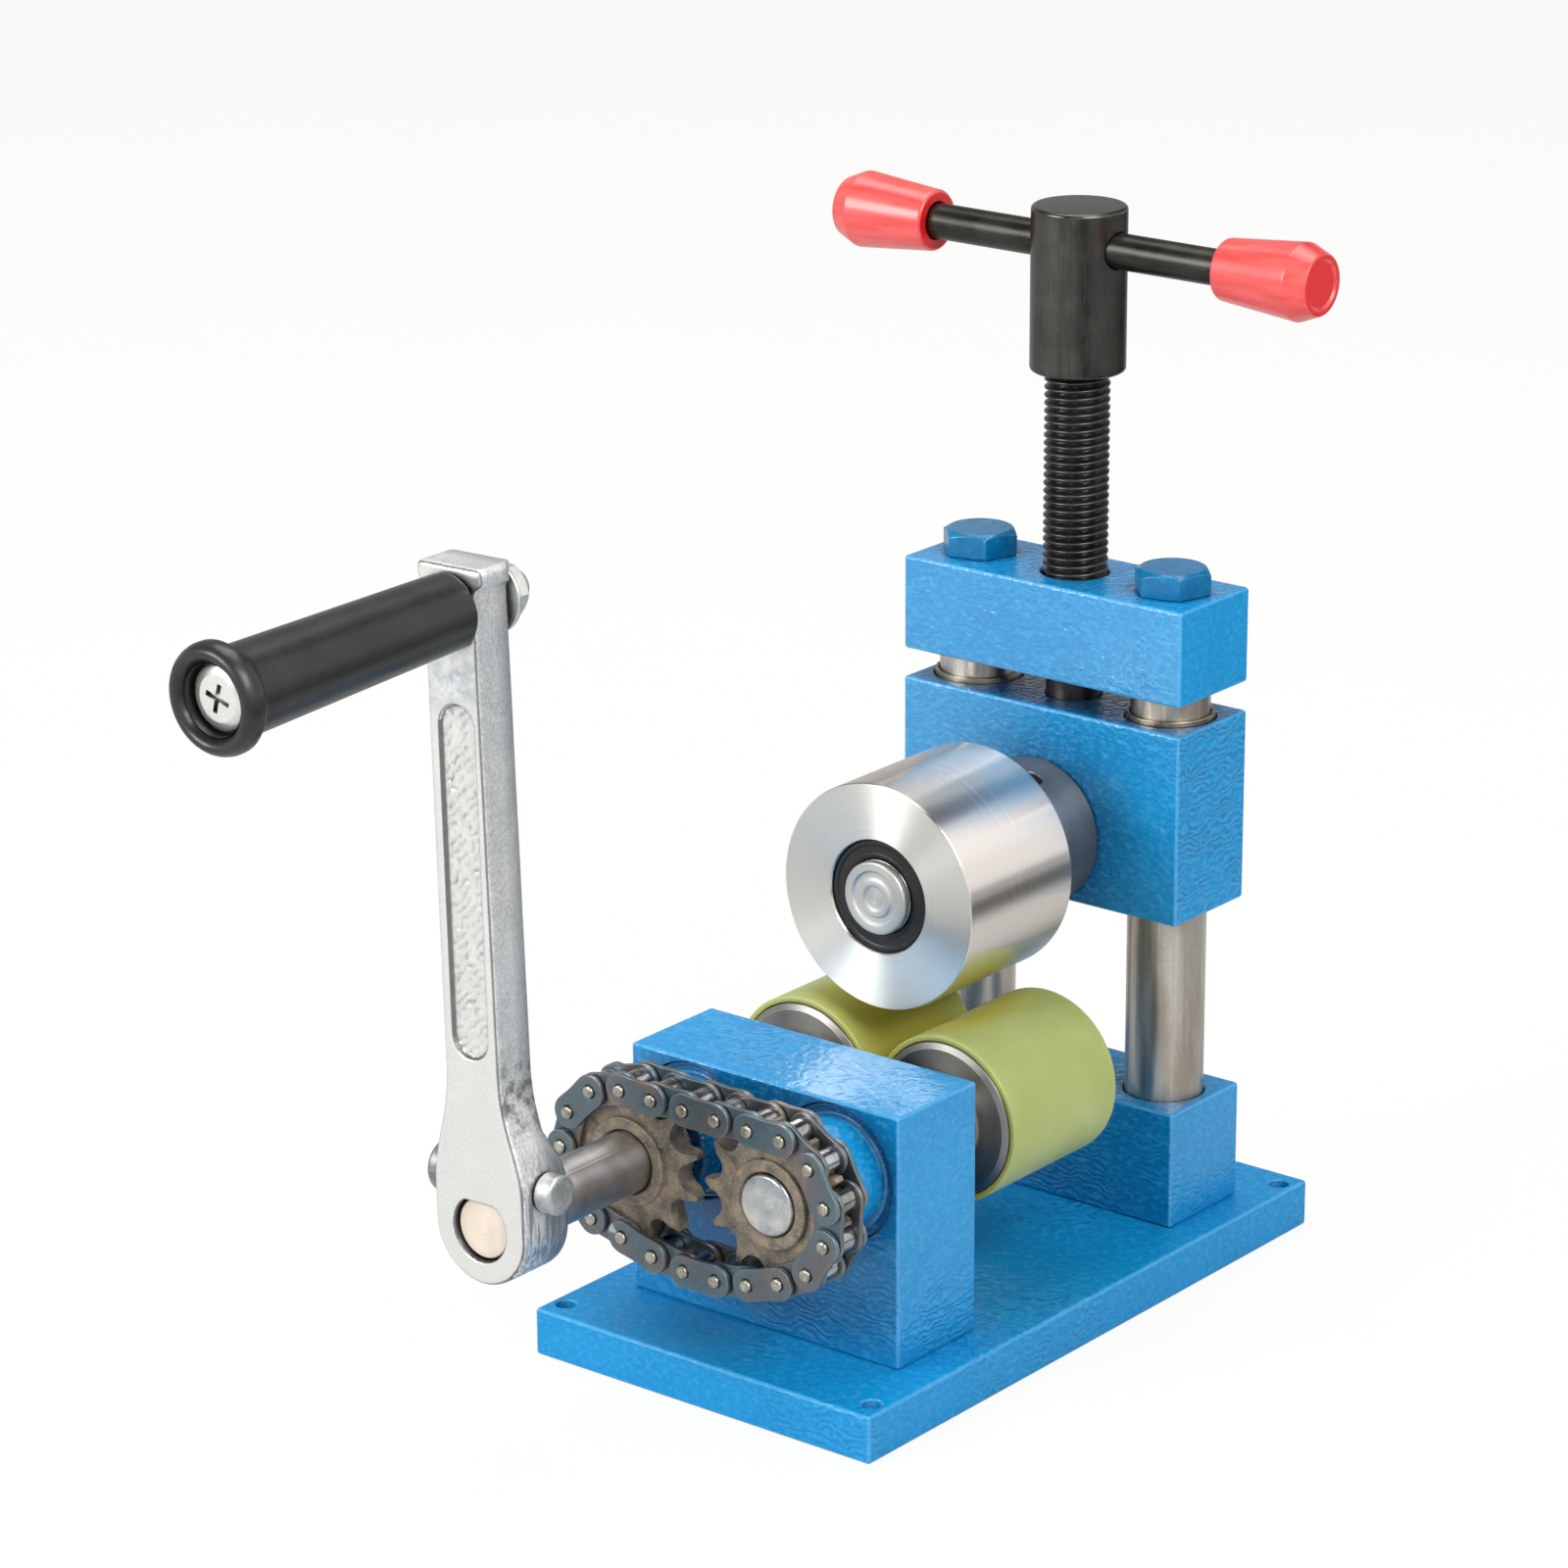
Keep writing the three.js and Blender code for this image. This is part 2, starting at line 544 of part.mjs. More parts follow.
function makeHexBolt(x) {
  const head = prism(hexagon(BOLT_HEAD_RADIUS, BOLT_HEAD_TURN), BOLT_HEAD_HEIGHT);
  const around = BOLT_HEAD_RADIUS + PAST;
  const chamfer = turnedZ([
    [0, -PAST], [around, -PAST], [around, BOLT_HEAD_HEIGHT - BOLT_HEAD_CHAMFER],
    [around - 2 * BOLT_HEAD_CHAMFER, BOLT_HEAD_HEIGHT], [0, BOLT_HEAD_HEIGHT],
  ], ROUND);
  const shank = turnedZ(rod(BOLT_RADIUS, -BOLT_LENGTH, BOLT_HEAD_HEIGHT / 2), ROUND_SMALL);
  const trimmed = toGeometry(toSolid(head).intersect(toSolid(chamfer)));
  return join(trimmed, shank).translate(x, COLUMN_Y, CROSSHEAD_TOP);
}

// Chain

// Pin centres of the chain as [x, z] from the middle between the shafts, clockwise from the
// top of the left sprocket. The top run is taut and the bottom run hangs in a shallow arc.
function chainPins() {
  const step = (2 * Math.PI) / SPROCKET_TEETH;
  const left = -SHAFT_SPACING / 2;
  const right = SHAFT_SPACING / 2;
  const onCircle = (centre, angle) => [
    centre + SPROCKET_PITCH_RADIUS * Math.cos(angle), SPROCKET_PITCH_RADIUS * Math.sin(angle),
  ];
  const top = onCircle(left, Math.PI / 2);
  const runLinks = Math.ceil(SHAFT_SPACING / CHAIN_PITCH);
  const phase = rightPhase();
  const pins = [];
  const firstRight = onCircle(right, phase);
  for (let i = 0; i < runLinks; i += 1) {
    const share = i / runLinks;
    pins.push([
      top[0] + (firstRight[0] - top[0]) * share, top[1] + (firstRight[1] - top[1]) * share,
    ]);
  }
  let angle = phase;
  while (angle > -Math.PI / 2) {
    pins.push(onCircle(right, angle));
    angle -= step;
  }
  const leftPins = [];
  for (let a = Math.PI / 2 + step; a <= 1.5 * Math.PI + 1e-6; a += step) {
    leftPins.unshift(onCircle(left, a));
  }
  const hanging = CHAIN_LINKS - pins.length - leftPins.length;
  pins.push(...arcPoints(pins[pins.length - 1], leftPins[0], hanging));
  pins.push(...leftPins);
  return pins;
}

// The angle of the right sprocket's first engaged tooth space, found by bisection: the top run
// from the left sprocket's top is a whole number of pitches long.
function rightPhase() {
  const runLinks = Math.ceil(SHAFT_SPACING / CHAIN_PITCH);
  let low = 0;
  let high = Math.PI / 2;
  for (let i = 0; i < 50; i += 1) {
    const middle = (low + high) / 2;
    const x = SHAFT_SPACING + SPROCKET_PITCH_RADIUS * Math.cos(middle);
    const z = SPROCKET_PITCH_RADIUS * (Math.sin(middle) - 1);
    if (Math.hypot(x, z) > runLinks * CHAIN_PITCH) low = middle;
    else high = middle;
  }
  return (low + high) / 2;
}

// Points between two ends on the arc, below the chord, whose equal chords are one pitch long
function arcPoints(from, to, count) {
  const span = Math.hypot(to[0] - from[0], to[1] - from[1]);
  const links = count + 1;
  let low = 1e-4;
  let high = Math.PI / links;
  for (let i = 0; i < 50; i += 1) {
    const half = (low + high) / 2;
    if ((CHAIN_PITCH * Math.sin(links * half)) / Math.sin(half) > span) low = half;
    else high = half;
  }
  const half = (low + high) / 2;
  const points = [];
  let [x, z] = from;
  const chord = Math.atan2(to[1] - from[1], to[0] - from[0]);
  for (let i = 0; i < count; i += 1) {
    const heading = chord + (links - 1 - 2 * i) * half;
    x += CHAIN_PITCH * Math.cos(heading);
    z += CHAIN_PITCH * Math.sin(heading);
    points.push([x, z]);
  }
  return points;
}

// A link plate between two pins, lying from y0 to y1
function linkPlate([x0, z0], [x1, z1], y0, y1) {
  const end = CHAIN_PLATE_HEIGHT / 2;
  const shape = new THREE.Shape();
  shape.absarc(CHAIN_PITCH / 2, 0, end, -Math.PI / 2, Math.PI / 2, false);
  shape.absarc(-CHAIN_PITCH / 2, 0, end, Math.PI / 2, 1.5 * Math.PI, false);
  const plate = new THREE.ExtrudeGeometry(shape, {
    depth: y1 - y0, bevelEnabled: false, curveSegments: 3,
  });
  plate.rotateX(Math.PI / 2);
  plate.translate(0, y1, 0);
  plate.rotateY(-Math.atan2(z1 - z0, x1 - x0));
  return plate.translate((x0 + x1) / 2, 0, (z0 + z1) / 2);
}

// The chain's layers, as distances from its centre line
const INNER_PLATE_START = CHAIN_INNER_WIDTH / 2;
const INNER_PLATE_END = INNER_PLATE_START + CHAIN_PLATE_THICKNESS;
const OUTER_PLATE_START = INNER_PLATE_END + GAP;
const OUTER_PLATE_END = OUTER_PLATE_START + CHAIN_PLATE_THICKNESS;

function platePair(from, to, start, end) {
  return [linkPlate(from, to, start, end), linkPlate(from, to, -end, -start)];
}

// A cranked plate: inner at its first pin, outer at its second
function offsetPlate(from, to, side) {
  const [near, far] = [from, to];
  const angle = Math.atan2(far[1] - near[1], far[0] - near[0]);
  const layer = (start, end) => (side > 0 ? [start, end] : [-end, -start]);
  const half = (geometry, sign) => {
    const keep = new THREE.BoxGeometry(CHAIN_PITCH * 2, CHAIN_PLATE_HEIGHT * 3, CHAIN_PLATE_HEIGHT * 3);
    keep.translate(sign * (CHAIN_PITCH + SPLIT), 0, 0);
    keep.rotateY(-angle);
    keep.translate((near[0] + far[0]) / 2, 0, (near[1] + far[1]) / 2);
    return toGeometry(toSolid(geometry).intersect(toSolid(keep)));
  };
  const inner = half(linkPlate(near, far, ...layer(INNER_PLATE_START, INNER_PLATE_END)), -1);
  const outer = half(linkPlate(near, far, ...layer(OUTER_PLATE_START, OUTER_PLATE_END)), 1);
  const [y0, y1] = layer(INNER_PLATE_START, OUTER_PLATE_END);
  const web = new THREE.BoxGeometry(CHAIN_PLATE_THICKNESS, y1 - y0, CHAIN_PLATE_HEIGHT);
  web.translate(0, (y0 + y1) / 2, 0);
  web.rotateY(-angle);
  web.translate((near[0] + far[0]) / 2, 0, (near[1] + far[1]) / 2);
  return join(inner, web, outer);
}

// The one link of an odd chain that is inner at one end and outer at the other
const CRANKED_LINK = CHAIN_LINKS % 2 ? CHAIN_LINKS - 4 : -1;

// The whole chain as one flexible piece: its plates, pins and rollers are joined
function makeChain() {
  const pins = chainPins();
  const parts = [];
  for (let i = 0; i < pins.length; i += 1) {
    const [from, to] = [pins[i], pins[(i + 1) % pins.length]];
    const isOuter = i < CRANKED_LINK || CRANKED_LINK < 0 ? i % 2 === 0 : i % 2 === 1;
    if (i === CRANKED_LINK) parts.push(offsetPlate(from, to, 1), offsetPlate(from, to, -1));
    else if (isOuter) parts.push(...platePair(from, to, OUTER_PLATE_START, OUTER_PLATE_END));
    else parts.push(...platePair(from, to, INNER_PLATE_START, INNER_PLATE_END));
  }
  const pinEnd = OUTER_PLATE_END + CHAIN_PIN_OVERHANG;
  for (const [x, z] of pins) {
    parts.push(turnedY([
      [0, -pinEnd], [CHAIN_PIN_RADIUS, -pinEnd], [CHAIN_PIN_RADIUS, -INNER_PLATE_START],
      [CHAIN_ROLLER_RADIUS, -INNER_PLATE_START], [CHAIN_ROLLER_RADIUS, INNER_PLATE_START],
      [CHAIN_PIN_RADIUS, INNER_PLATE_START], [CHAIN_PIN_RADIUS, pinEnd], [0, pinEnd],
    ], ROUND_TINY).translate(x, 0, z));
  }
  return join(...parts).translate(0, CHAIN_Y, SHAFT_HEIGHT);
}

// A sprocket about the Y axis, centred on the chain's centre line, with a tooth space at phase
function makeSprocket(phase) {
  const shape = new THREE.Shape();
  const seat = CHAIN_ROLLER_RADIUS + GAP;
  const step = (2 * Math.PI) / SPROCKET_TEETH;
  const tip = SPROCKET_PITCH_RADIUS + SPROCKET_TIP_ADDENDUM;
  const corners = [];
  for (let tooth = 0; tooth < SPROCKET_TEETH; tooth += 1) {
    const space = phase + tooth * step;
    for (let i = -2; i <= 2; i += 1) {
      const around = space + Math.PI - (i * SPROCKET_SEAT_SWEEP) / 4;
      corners.push([
        SPROCKET_PITCH_RADIUS * Math.cos(space) + seat * Math.cos(around),
        SPROCKET_PITCH_RADIUS * Math.sin(space) + seat * Math.sin(around),
      ]);
    }
    const halfTip = SPROCKET_TIP_HALF_WIDTH / tip;
    for (const side of [-1, 1]) {
      const angle = space + step / 2 + side * halfTip;
      corners.push([tip * Math.cos(angle), tip * Math.sin(angle)]);
    }
  }
  corners.forEach(([x, z], i) => shape[i ? 'lineTo' : 'moveTo'](x, z));
  shape.closePath();
  const half = SPROCKET_THICKNESS / 2;
  const disc = prism(shape, SPROCKET_THICKNESS).rotateX(Math.PI / 2).translate(0, half, 0);
  const hubBack = FRONT_BLOCK_FRONT - COVER_BOSS_LENGTH - GAP - CHAIN_Y;
  const hub = turnedY(rod(SPROCKET_HUB_RADIUS, -half - SPROCKET_HUB_FRONT, hubBack));
  const bore = turnedY(
    rod(SHAFT_RADIUS + GAP, -half - SPROCKET_HUB_FRONT - PAST, hubBack + PAST),
  );
  return cut(join(disc, hub), bore).translate(0, CHAIN_Y, 0);
}

// Lower shafts: each maker works about the shaft's own axis

const FRONT_BEARING_Y = FRONT_BLOCK_FRONT + COVER_DEPTH + (BEARING_WIDTH + GAP) / 2;
const BACK_BEARING_Y = FRONT_BLOCK_BACK - (BEARING_WIDTH + GAP) / 2;
const SHAFT_BACK = LOWER_ROLLER_BACK - GAP;

function makeShaft(front) {
  const body = turnedY(chamferedRod(SHAFT_RADIUS, front, SHAFT_BACK, BLOCK_EDGE));
  const tapped = turnedY(rod(
    END_BOLT_RADIUS + GAP, SHAFT_BACK - END_BOLT_LENGTH, SHAFT_BACK + PAST,
  ), ROUND_SMALL);
  return cut(body, tapped);
}

function makeEndBolt() {
  const seat = LOWER_ROLLER_BACK + 2 * GAP + END_WASHER_THICKNESS;
  const head = prism(hexagon(END_BOLT_HEAD_RADIUS), END_BOLT_HEAD_HEIGHT)
    .rotateX(Math.PI / 2).translate(0, seat + END_BOLT_HEAD_HEIGHT, 0);
  const tip = SHAFT_BACK - END_BOLT_LENGTH + GAP;
  const inHead = seat + END_BOLT_HEAD_HEIGHT / 2;
  return join(head, turnedY(rod(END_BOLT_RADIUS, tip, inHead), ROUND_SMALL));
}

function makeEndWasher() {
  const start = LOWER_ROLLER_BACK + GAP;
  return turnedY(tube(
    END_BOLT_RADIUS + GAP, END_WASHER_RADIUS, start, start + END_WASHER_THICKNESS,
  ));
}

// The steel core, with a hub that stands off the front block's bearing
function makeRollerCore() {
  const bore = SHAFT_RADIUS + GAP;
  return turnedY([
    [bore, FRONT_BLOCK_BACK + GAP], [CORE_HUB_RADIUS, FRONT_BLOCK_BACK + GAP],
    [CORE_HUB_RADIUS, LOWER_ROLLER_FRONT], [CORE_RADIUS - CORE_EDGE, LOWER_ROLLER_FRONT],
    [CORE_RADIUS, LOWER_ROLLER_FRONT + CORE_EDGE], [CORE_RADIUS, LOWER_ROLLER_BACK - CORE_EDGE],
    [CORE_RADIUS - CORE_EDGE, LOWER_ROLLER_BACK], [bore, LOWER_ROLLER_BACK],
  ], ROUND_LARGE);
}

function makeTyre() {
  const inner = CORE_RADIUS + GAP;
  const front = LOWER_ROLLER_FRONT + CORE_EDGE;
  const back = LOWER_ROLLER_BACK - CORE_EDGE;
  return turnedY([
    [inner, front], [TYRE_RADIUS - TYRE_EDGE, front], [TYRE_RADIUS, front + TYRE_EDGE],
    [TYRE_RADIUS, back - TYRE_EDGE], [TYRE_RADIUS - TYRE_EDGE, back], [inner, back],
  ], ROUND_LARGE);
}

function makeRunningGear(side) {
  const gear = new THREE.Group();
  gear.position.set(((side === 'left' ? -1 : 1) * SHAFT_SPACING) / 2, 0, SHAFT_HEIGHT);
  for (const [end, y] of [['front', FRONT_BEARING_Y], ['back', BACK_BEARING_Y]]) {
    const ring = makeInnerRing(SHAFT_RADIUS, BEARING_RING_WALL, BEARING_WIDTH).translate(0, y, 0);
    gear.add(piece(`${end}_inner_ring_${side}`, ring, 'brightSteel'));
  }
  gear.add(piece(`roller_core_${side}`, makeRollerCore(), 'steel'));
  gear.add(piece(`roller_tyre_${side}`, makeTyre(), 'polyurethane'));
  gear.add(piece(`end_washer_${side}`, makeEndWasher(), 'zinc'));
  gear.add(piece(`end_bolt_${side}`, makeEndBolt(), 'zinc'));
  return gear;
}

// Crank: the arm stands along +Z from the drive shaft's axis, its front face towards -Y

const ARM_MIDDLE = CRANK_FRONT_Y + CRANK_ARM_THICKNESS / 2;
const ARM_BACK = CRANK_FRONT_Y + CRANK_ARM_THICKNESS;
const HUB_BACK = CRANK_FRONT_Y + CRANK_HUB_THICKNESS;

// The arm's outline about the shaft's axis: the hub's round and its straight sides, the curves
// into the neck, which leans to the left, and the wider end
function armOutline() {
  const side = CRANK_HUB_RADIUS;
  const neck = [-1, 1].map((sign) => (sign * CRANK_NECK_WIDTH) / 2 - CRANK_NECK_SHIFT);
  const end = [-1, 1].map((sign) => (sign * CRANK_NECK_TOP_WIDTH) / 2 - CRANK_NECK_TOP_SHIFT);
  const top = [-1, 1].map((sign) => (sign * CRANK_TOP_WIDTH) / 2 - CRANK_TOP_SHIFT);
  const reach = CRANK_LENGTH + CRANK_TOP_REACH;
  const corner = CRANK_TOP_CORNER;
  const low = CRANK_NECK_START * CRANK_CURVE_LOW;
  const high = CRANK_NECK_START * CRANK_CURVE_HIGH;
  const shape = new THREE.Shape();
  shape.moveTo(side, 0);
  shape.lineTo(side, CRANK_SIDE_RISE);
  shape.bezierCurveTo(side, low, neck[1], high, neck[1], CRANK_NECK_START);
  shape.lineTo(end[1], reach - CRANK_TOP_FLARE);
  shape.lineTo(top[1], reach - CRANK_TOP_LIP);
  shape.lineTo(top[1], reach - corner);
  shape.lineTo(top[1] - corner, reach);
  shape.lineTo(top[0] + corner, reach);
  shape.lineTo(top[0], reach - corner);
  shape.lineTo(top[0], reach - CRANK_TOP_LIP);
  shape.lineTo(end[0], reach - CRANK_TOP_FLARE);
  shape.lineTo(neck[0], CRANK_NECK_START);
  shape.bezierCurveTo(neck[0], high, -side, low, -side, CRANK_SIDE_RISE);
  shape.lineTo(-side, 0);
  shape.absarc(0, 0, side, Math.PI, 2 * Math.PI, false);
  return shape;
}

// What is cut from the hub's full thickness: all of it above the shoulder, whose top slopes
// from the hub's back up to the arm's back
function shoulderCut() {
  const slope = (CRANK_SHOULDER_TOP - CRANK_SHOULDER_RISE) / (HUB_BACK - ARM_BACK);
  const over = CRANK_LENGTH + 2 * CRANK_TOP_REACH;
  const shape = new THREE.Shape();
  shape.moveTo(HUB_BACK + PAST, CRANK_SHOULDER_RISE - PAST * slope);
  shape.lineTo(HUB_BACK + PAST, over);
  shape.lineTo(CRANK_FRONT_Y, over);
  shape.lineTo(CRANK_FRONT_Y, CRANK_SHOULDER_TOP);
  shape.lineTo(ARM_BACK, CRANK_SHOULDER_TOP);
  shape.closePath();
  const width = 4 * CRANK_HUB_RADIUS;
  return prism(shape, width).translate(0, 0, -width / 2).rotateX(Math.PI / 2).rotateZ(Math.PI / 2);
}

// Stands an extruded outline up, so that it lies from its front to its back along Y
function upright(geometry, front, thickness) {
  return geometry.rotateX(Math.PI / 2).translate(0, front + thickness, 0);
}

function easedPlate(shape, front, thickness, edge, segments) {
  const geometry = new THREE.ExtrudeGeometry(shape, {
    depth: thickness - 2 * edge,
    bevelThickness: edge,
    bevelSize: edge,
    bevelOffset: -edge,
    bevelSegments: 1,
    curveSegments: segments,
  });
  return upright(geometry.translate(0, 0, edge), front, thickness);
}

// The hub's bore, round below and flat above, where the shaft's flat lies
function flattedBore(front, back) {
  const shape = new THREE.Shape();
  const radius = SHAFT_RADIUS + GAP;
  const corner = Math.asin((SHAFT_FLAT + GAP / 2) / radius);
  shape.absarc(0, 0, radius, Math.PI - corner, 2 * Math.PI + corner, false);
  shape.closePath();
  const geometry = new THREE.ExtrudeGeometry(shape, {
    depth: back - front, bevelEnabled: false, curveSegments: 10,
  });
  return upright(geometry, front, back - front);
}

function makeCrankArm() {
  const outline = armOutline();
  const arm = easedPlate(outline, CRANK_FRONT_Y, CRANK_ARM_THICKNESS, CRANK_EDGE, 8);
  const inside = CRANK_FRONT_Y + 2 * CRANK_EDGE;
  const hub = cut(easedPlate(outline, inside, HUB_BACK - inside, CRANK_EDGE, 8), shoulderCut());
  const slot = new THREE.Shape();
  const slotHalf = CRANK_SLOT_WIDTH / 2;
  const slotX = -CRANK_SLOT_SHIFT;
  slot.absarc(slotX, CRANK_SLOT_START + slotHalf, slotHalf, Math.PI, 2 * Math.PI, false);
  slot.absarc(slotX, CRANK_SLOT_END - slotHalf, slotHalf, 0, Math.PI, false);
  const depth = PAST + CRANK_SLOT_DEPTH;
  const recess = upright(prism(slot, depth), CRANK_FRONT_Y - PAST, depth);
  const bore = flattedBore(CRANK_FRONT_Y - PAST, HUB_BACK + PAST);
  const reach = 2 * CRANK_HUB_RADIUS;
  const cotter = turnedX(rod(COTTER_RADIUS + GAP, -reach, reach), ROUND_SMALL)
    .translate(0, COTTER_Y, COTTER_Z);
  const boltHole = turnedY(
    rod(HANDLE_BOLT_RADIUS + GAP, -CRANK_ARM_THICKNESS, CRANK_ARM_THICKNESS), ROUND_SMALL,
  );
  return cut(join(arm, hub), recess, bore, cotter, drooped(boltHole));
}

// Puts a piece made about the Y axis, from the middle of the arm's thickness, on the grip's axis
function drooped(geometry) {
  return geometry.rotateX(GRIP_DROOP).translate(0, ARM_MIDDLE, CRANK_LENGTH);
}

// The drive shaft turns on into the crank's hub, where it is filed flat for the cotter pin
function makeDriveShaft() {
  const front = CRANK_FRONT_Y + SHAFT_END_RECESS;
  const flatLength = HUB_BACK - front + 2 * PAST;
  const flat = new THREE.BoxGeometry(4 * SHAFT_RADIUS, flatLength, 2 * SHAFT_RADIUS);
  flat.translate(0, (HUB_BACK + front) / 2, SHAFT_FLAT + SHAFT_RADIUS);
  return cut(makeShaft(front), flat);
}

function makeCotterPin() {
  const seat = CRANK_HUB_RADIUS + GAP;
  const end = seat + COTTER_REACH;
  const top = seat + COTTER_HEAD;
  return turnedX([
    [0, -end], [COTTER_RADIUS - COTTER_EDGE, -end], [COTTER_RADIUS, COTTER_EDGE - end],
    [COTTER_RADIUS, seat], [COTTER_HEAD_RADIUS, seat],
    [COTTER_HEAD_RADIUS, top - COTTER_EDGE], [COTTER_HEAD_RADIUS - COTTER_EDGE, top], [0, top],
  ], ROUND).translate(0, COTTER_Y, COTTER_Z);
}

// A round nut with a dome, blind, so that it covers the pin's end
function makeCotterNut() {
  const seat = -CRANK_HUB_RADIUS - GAP;
  const floor = seat - COTTER_REACH - GAP;
  const bore = COTTER_RADIUS + GAP;
  const dome = COTTER_NUT - COTTER_NUT_SIDE;
  const steps = 4;
  const profile = [[0, seat - COTTER_NUT]];
  for (let i = 1; i <= steps; i += 1) {
    const angle = (i * Math.PI) / (2 * steps);
    profile.push([
      COTTER_NUT_RADIUS * Math.sin(angle), seat - COTTER_NUT_SIDE - dome * Math.cos(angle),
    ]);
  }
  profile.push([COTTER_NUT_RADIUS, seat], [bore, seat], [bore, floor], [0, floor]);
  return turnedX(profile, ROUND).translate(0, COTTER_Y, COTTER_Z);
}

// The grip, its bolt and nut, each made about the Y axis from the middle of the arm's thickness
const ARM_HALF = CRANK_ARM_THICKNESS / 2;
const GRIP_BACK = -ARM_HALF - 2 * GAP;
const GRIP_FRONT = GRIP_BACK - GRIP_LENGTH;
const HANDLE_NUT_SEAT = ARM_HALF + 2 * GAP;

function makeHandleBolt() {
  const head = GRIP_FRONT + GRIP_MOUTH_DEPTH;
  const seat = head + HANDLE_BOLT_HEAD;
  const tail = HANDLE_NUT_SEAT + HANDLE_NUT_THICKNESS + HANDLE_BOLT_TAIL;
  const [edge, wide, narrow] = [HANDLE_BOLT_EDGE, HANDLE_BOLT_HEAD_RADIUS, HANDLE_BOLT_RADIUS];
  return drooped(turnedY([
    [0, head], [wide - edge, head], [wide, head + edge], [wide, seat],
    [narrow, seat], [narrow, tail - edge], [narrow - edge, tail], [0, tail],
  ]));
}

function makeHandleNut() {
  const nut = upright(
    prism(hexagon(HANDLE_NUT_RADIUS), HANDLE_NUT_THICKNESS), HANDLE_NUT_SEAT, HANDLE_NUT_THICKNESS,
  );
  const flange = turnedY([
    [0, HANDLE_NUT_SEAT], [HANDLE_NUT_FLANGE_RADIUS, HANDLE_NUT_SEAT],
    [HANDLE_NUT_FLANGE_RADIUS, HANDLE_NUT_SEAT + HANDLE_NUT_FLANGE_EDGE],
    [HANDLE_NUT_RADIUS, HANDLE_NUT_SEAT + HANDLE_NUT_FLANGE],
    [0, HANDLE_NUT_SEAT + HANDLE_NUT_FLANGE],
  ]);
  const bore = turnedY(rod(
    HANDLE_BOLT_RADIUS + GAP, HANDLE_NUT_SEAT - PAST, HANDLE_NUT_SEAT + HANDLE_NUT_THICKNESS + PAST,
  ));
  return drooped(cut(join(nut, flange), bore));
}

function makeGrip() {
  const mouth = GRIP_FRONT + GRIP_MOUTH_DEPTH + HANDLE_BOLT_HEAD + GAP;
  const mouthRadius = HANDLE_BOLT_HEAD_RADIUS + 2 * GAP;
  const bore = HANDLE_BOLT_RADIUS + GAP;
  const flangeHalf = GRIP_FLANGE_LENGTH / 2;
  const bulge = (GRIP_FLANGE_RADIUS - mouthRadius) / 2;
  const steps = 7;
  const profile = [[mouthRadius, mouth]];
  for (let i = 0; i <= steps; i += 1) {
    const angle = Math.PI - (i * Math.PI) / steps;
    profile.push([
      GRIP_FLANGE_RADIUS - bulge + bulge * Math.sin(angle),
      GRIP_FRONT + flangeHalf + flangeHalf * Math.cos(angle),
    ]);
  }
  profile.push(
    [GRIP_OUTER_RADIUS, GRIP_FRONT + GRIP_FLANGE_LENGTH],
    [GRIP_INNER_RADIUS, GRIP_BACK - GRIP_EDGE], [GRIP_INNER_RADIUS - GRIP_EDGE, GRIP_BACK],
    [bore, GRIP_BACK], [bore, mouth],
  );
  return drooped(turnedY(profile));
}

// Slide block and the pressure roller's axle

const NECK_BOTTOM = SLIDE_TOP - SCREW_NECK_LENGTH;
const GROOVE_Z = SLIDE_TOP - SCREW_NECK_LENGTH / 2;
const RETAINING_PIN_X = SCREW_NECK_RADIUS - SCREW_GROOVE_DEPTH + GAP + RETAINING_PIN_RADIUS;
const SMALL_FRONT_Y = PRESSURE_FRONT + SMALL_BEARING_RECESS + SMALL_BEARING_WIDTH / 2;
const SMALL_BACK_Y = PRESSURE_BACK - SMALL_BEARING_RECESS - SMALL_BEARING_WIDTH / 2;
const GRUB_Y = BLOCK_FRONT - COLLAR_LENGTH / 2;

function retainingPin(radius, start, end) {
  return turnedY(rod(radius, start, end), ROUND_SMALL).translate(RETAINING_PIN_X, 0, GROOVE_Z);
}

function makeSlideBlock() {
  const body = block(
    -BLOCK_WIDTH / 2, BLOCK_WIDTH / 2, BLOCK_FRONT, BLOCK_BACK, SLIDE_BOTTOM, SLIDE_TOP, BLOCK_EDGE,
  );
  const bushBore = COLUMN_RADIUS + BUSH_WALL + 2 * GAP;
  const bores = columnPlaces().map((x) => turnedZ(
    rod(bushBore, SLIDE_BOTTOM - PAST, SLIDE_TOP + PAST), ROUND_LARGE,
  ).translate(x, COLUMN_Y, 0));
  const neck = turnedZ(rod(SCREW_NECK_RADIUS + GAP, NECK_BOTTOM, SLIDE_TOP + PAST))
    .translate(0, COLUMN_Y, 0);
  const axle = turnedY(
    rod(AXLE_RADIUS + GAP, BLOCK_FRONT - PAST, BLOCK_FRONT + AXLE_SEAT_DEPTH + GAP),
  ).translate(0, 0, PRESSURE_HEIGHT);
  const pin = retainingPin(
    RETAINING_PIN_RADIUS + GAP, COLUMN_Y - RETAINING_PIN_REACH - GAP, BLOCK_BACK + PAST,
  );
  return cut(body, ...bores, neck, axle, pin);
}

function makeBush(x) {
  const inner = COLUMN_RADIUS + GAP;
  return turnedZ(tube(inner, inner + BUSH_WALL, SLIDE_BOTTOM, SLIDE_TOP + BUSH_PROUD), ROUND_LARGE)
    .translate(x, COLUMN_Y, 0);
}

function makeRetainingPin() {
  return retainingPin(RETAINING_PIN_RADIUS, COLUMN_Y - RETAINING_PIN_REACH, BLOCK_BACK - GAP);
}

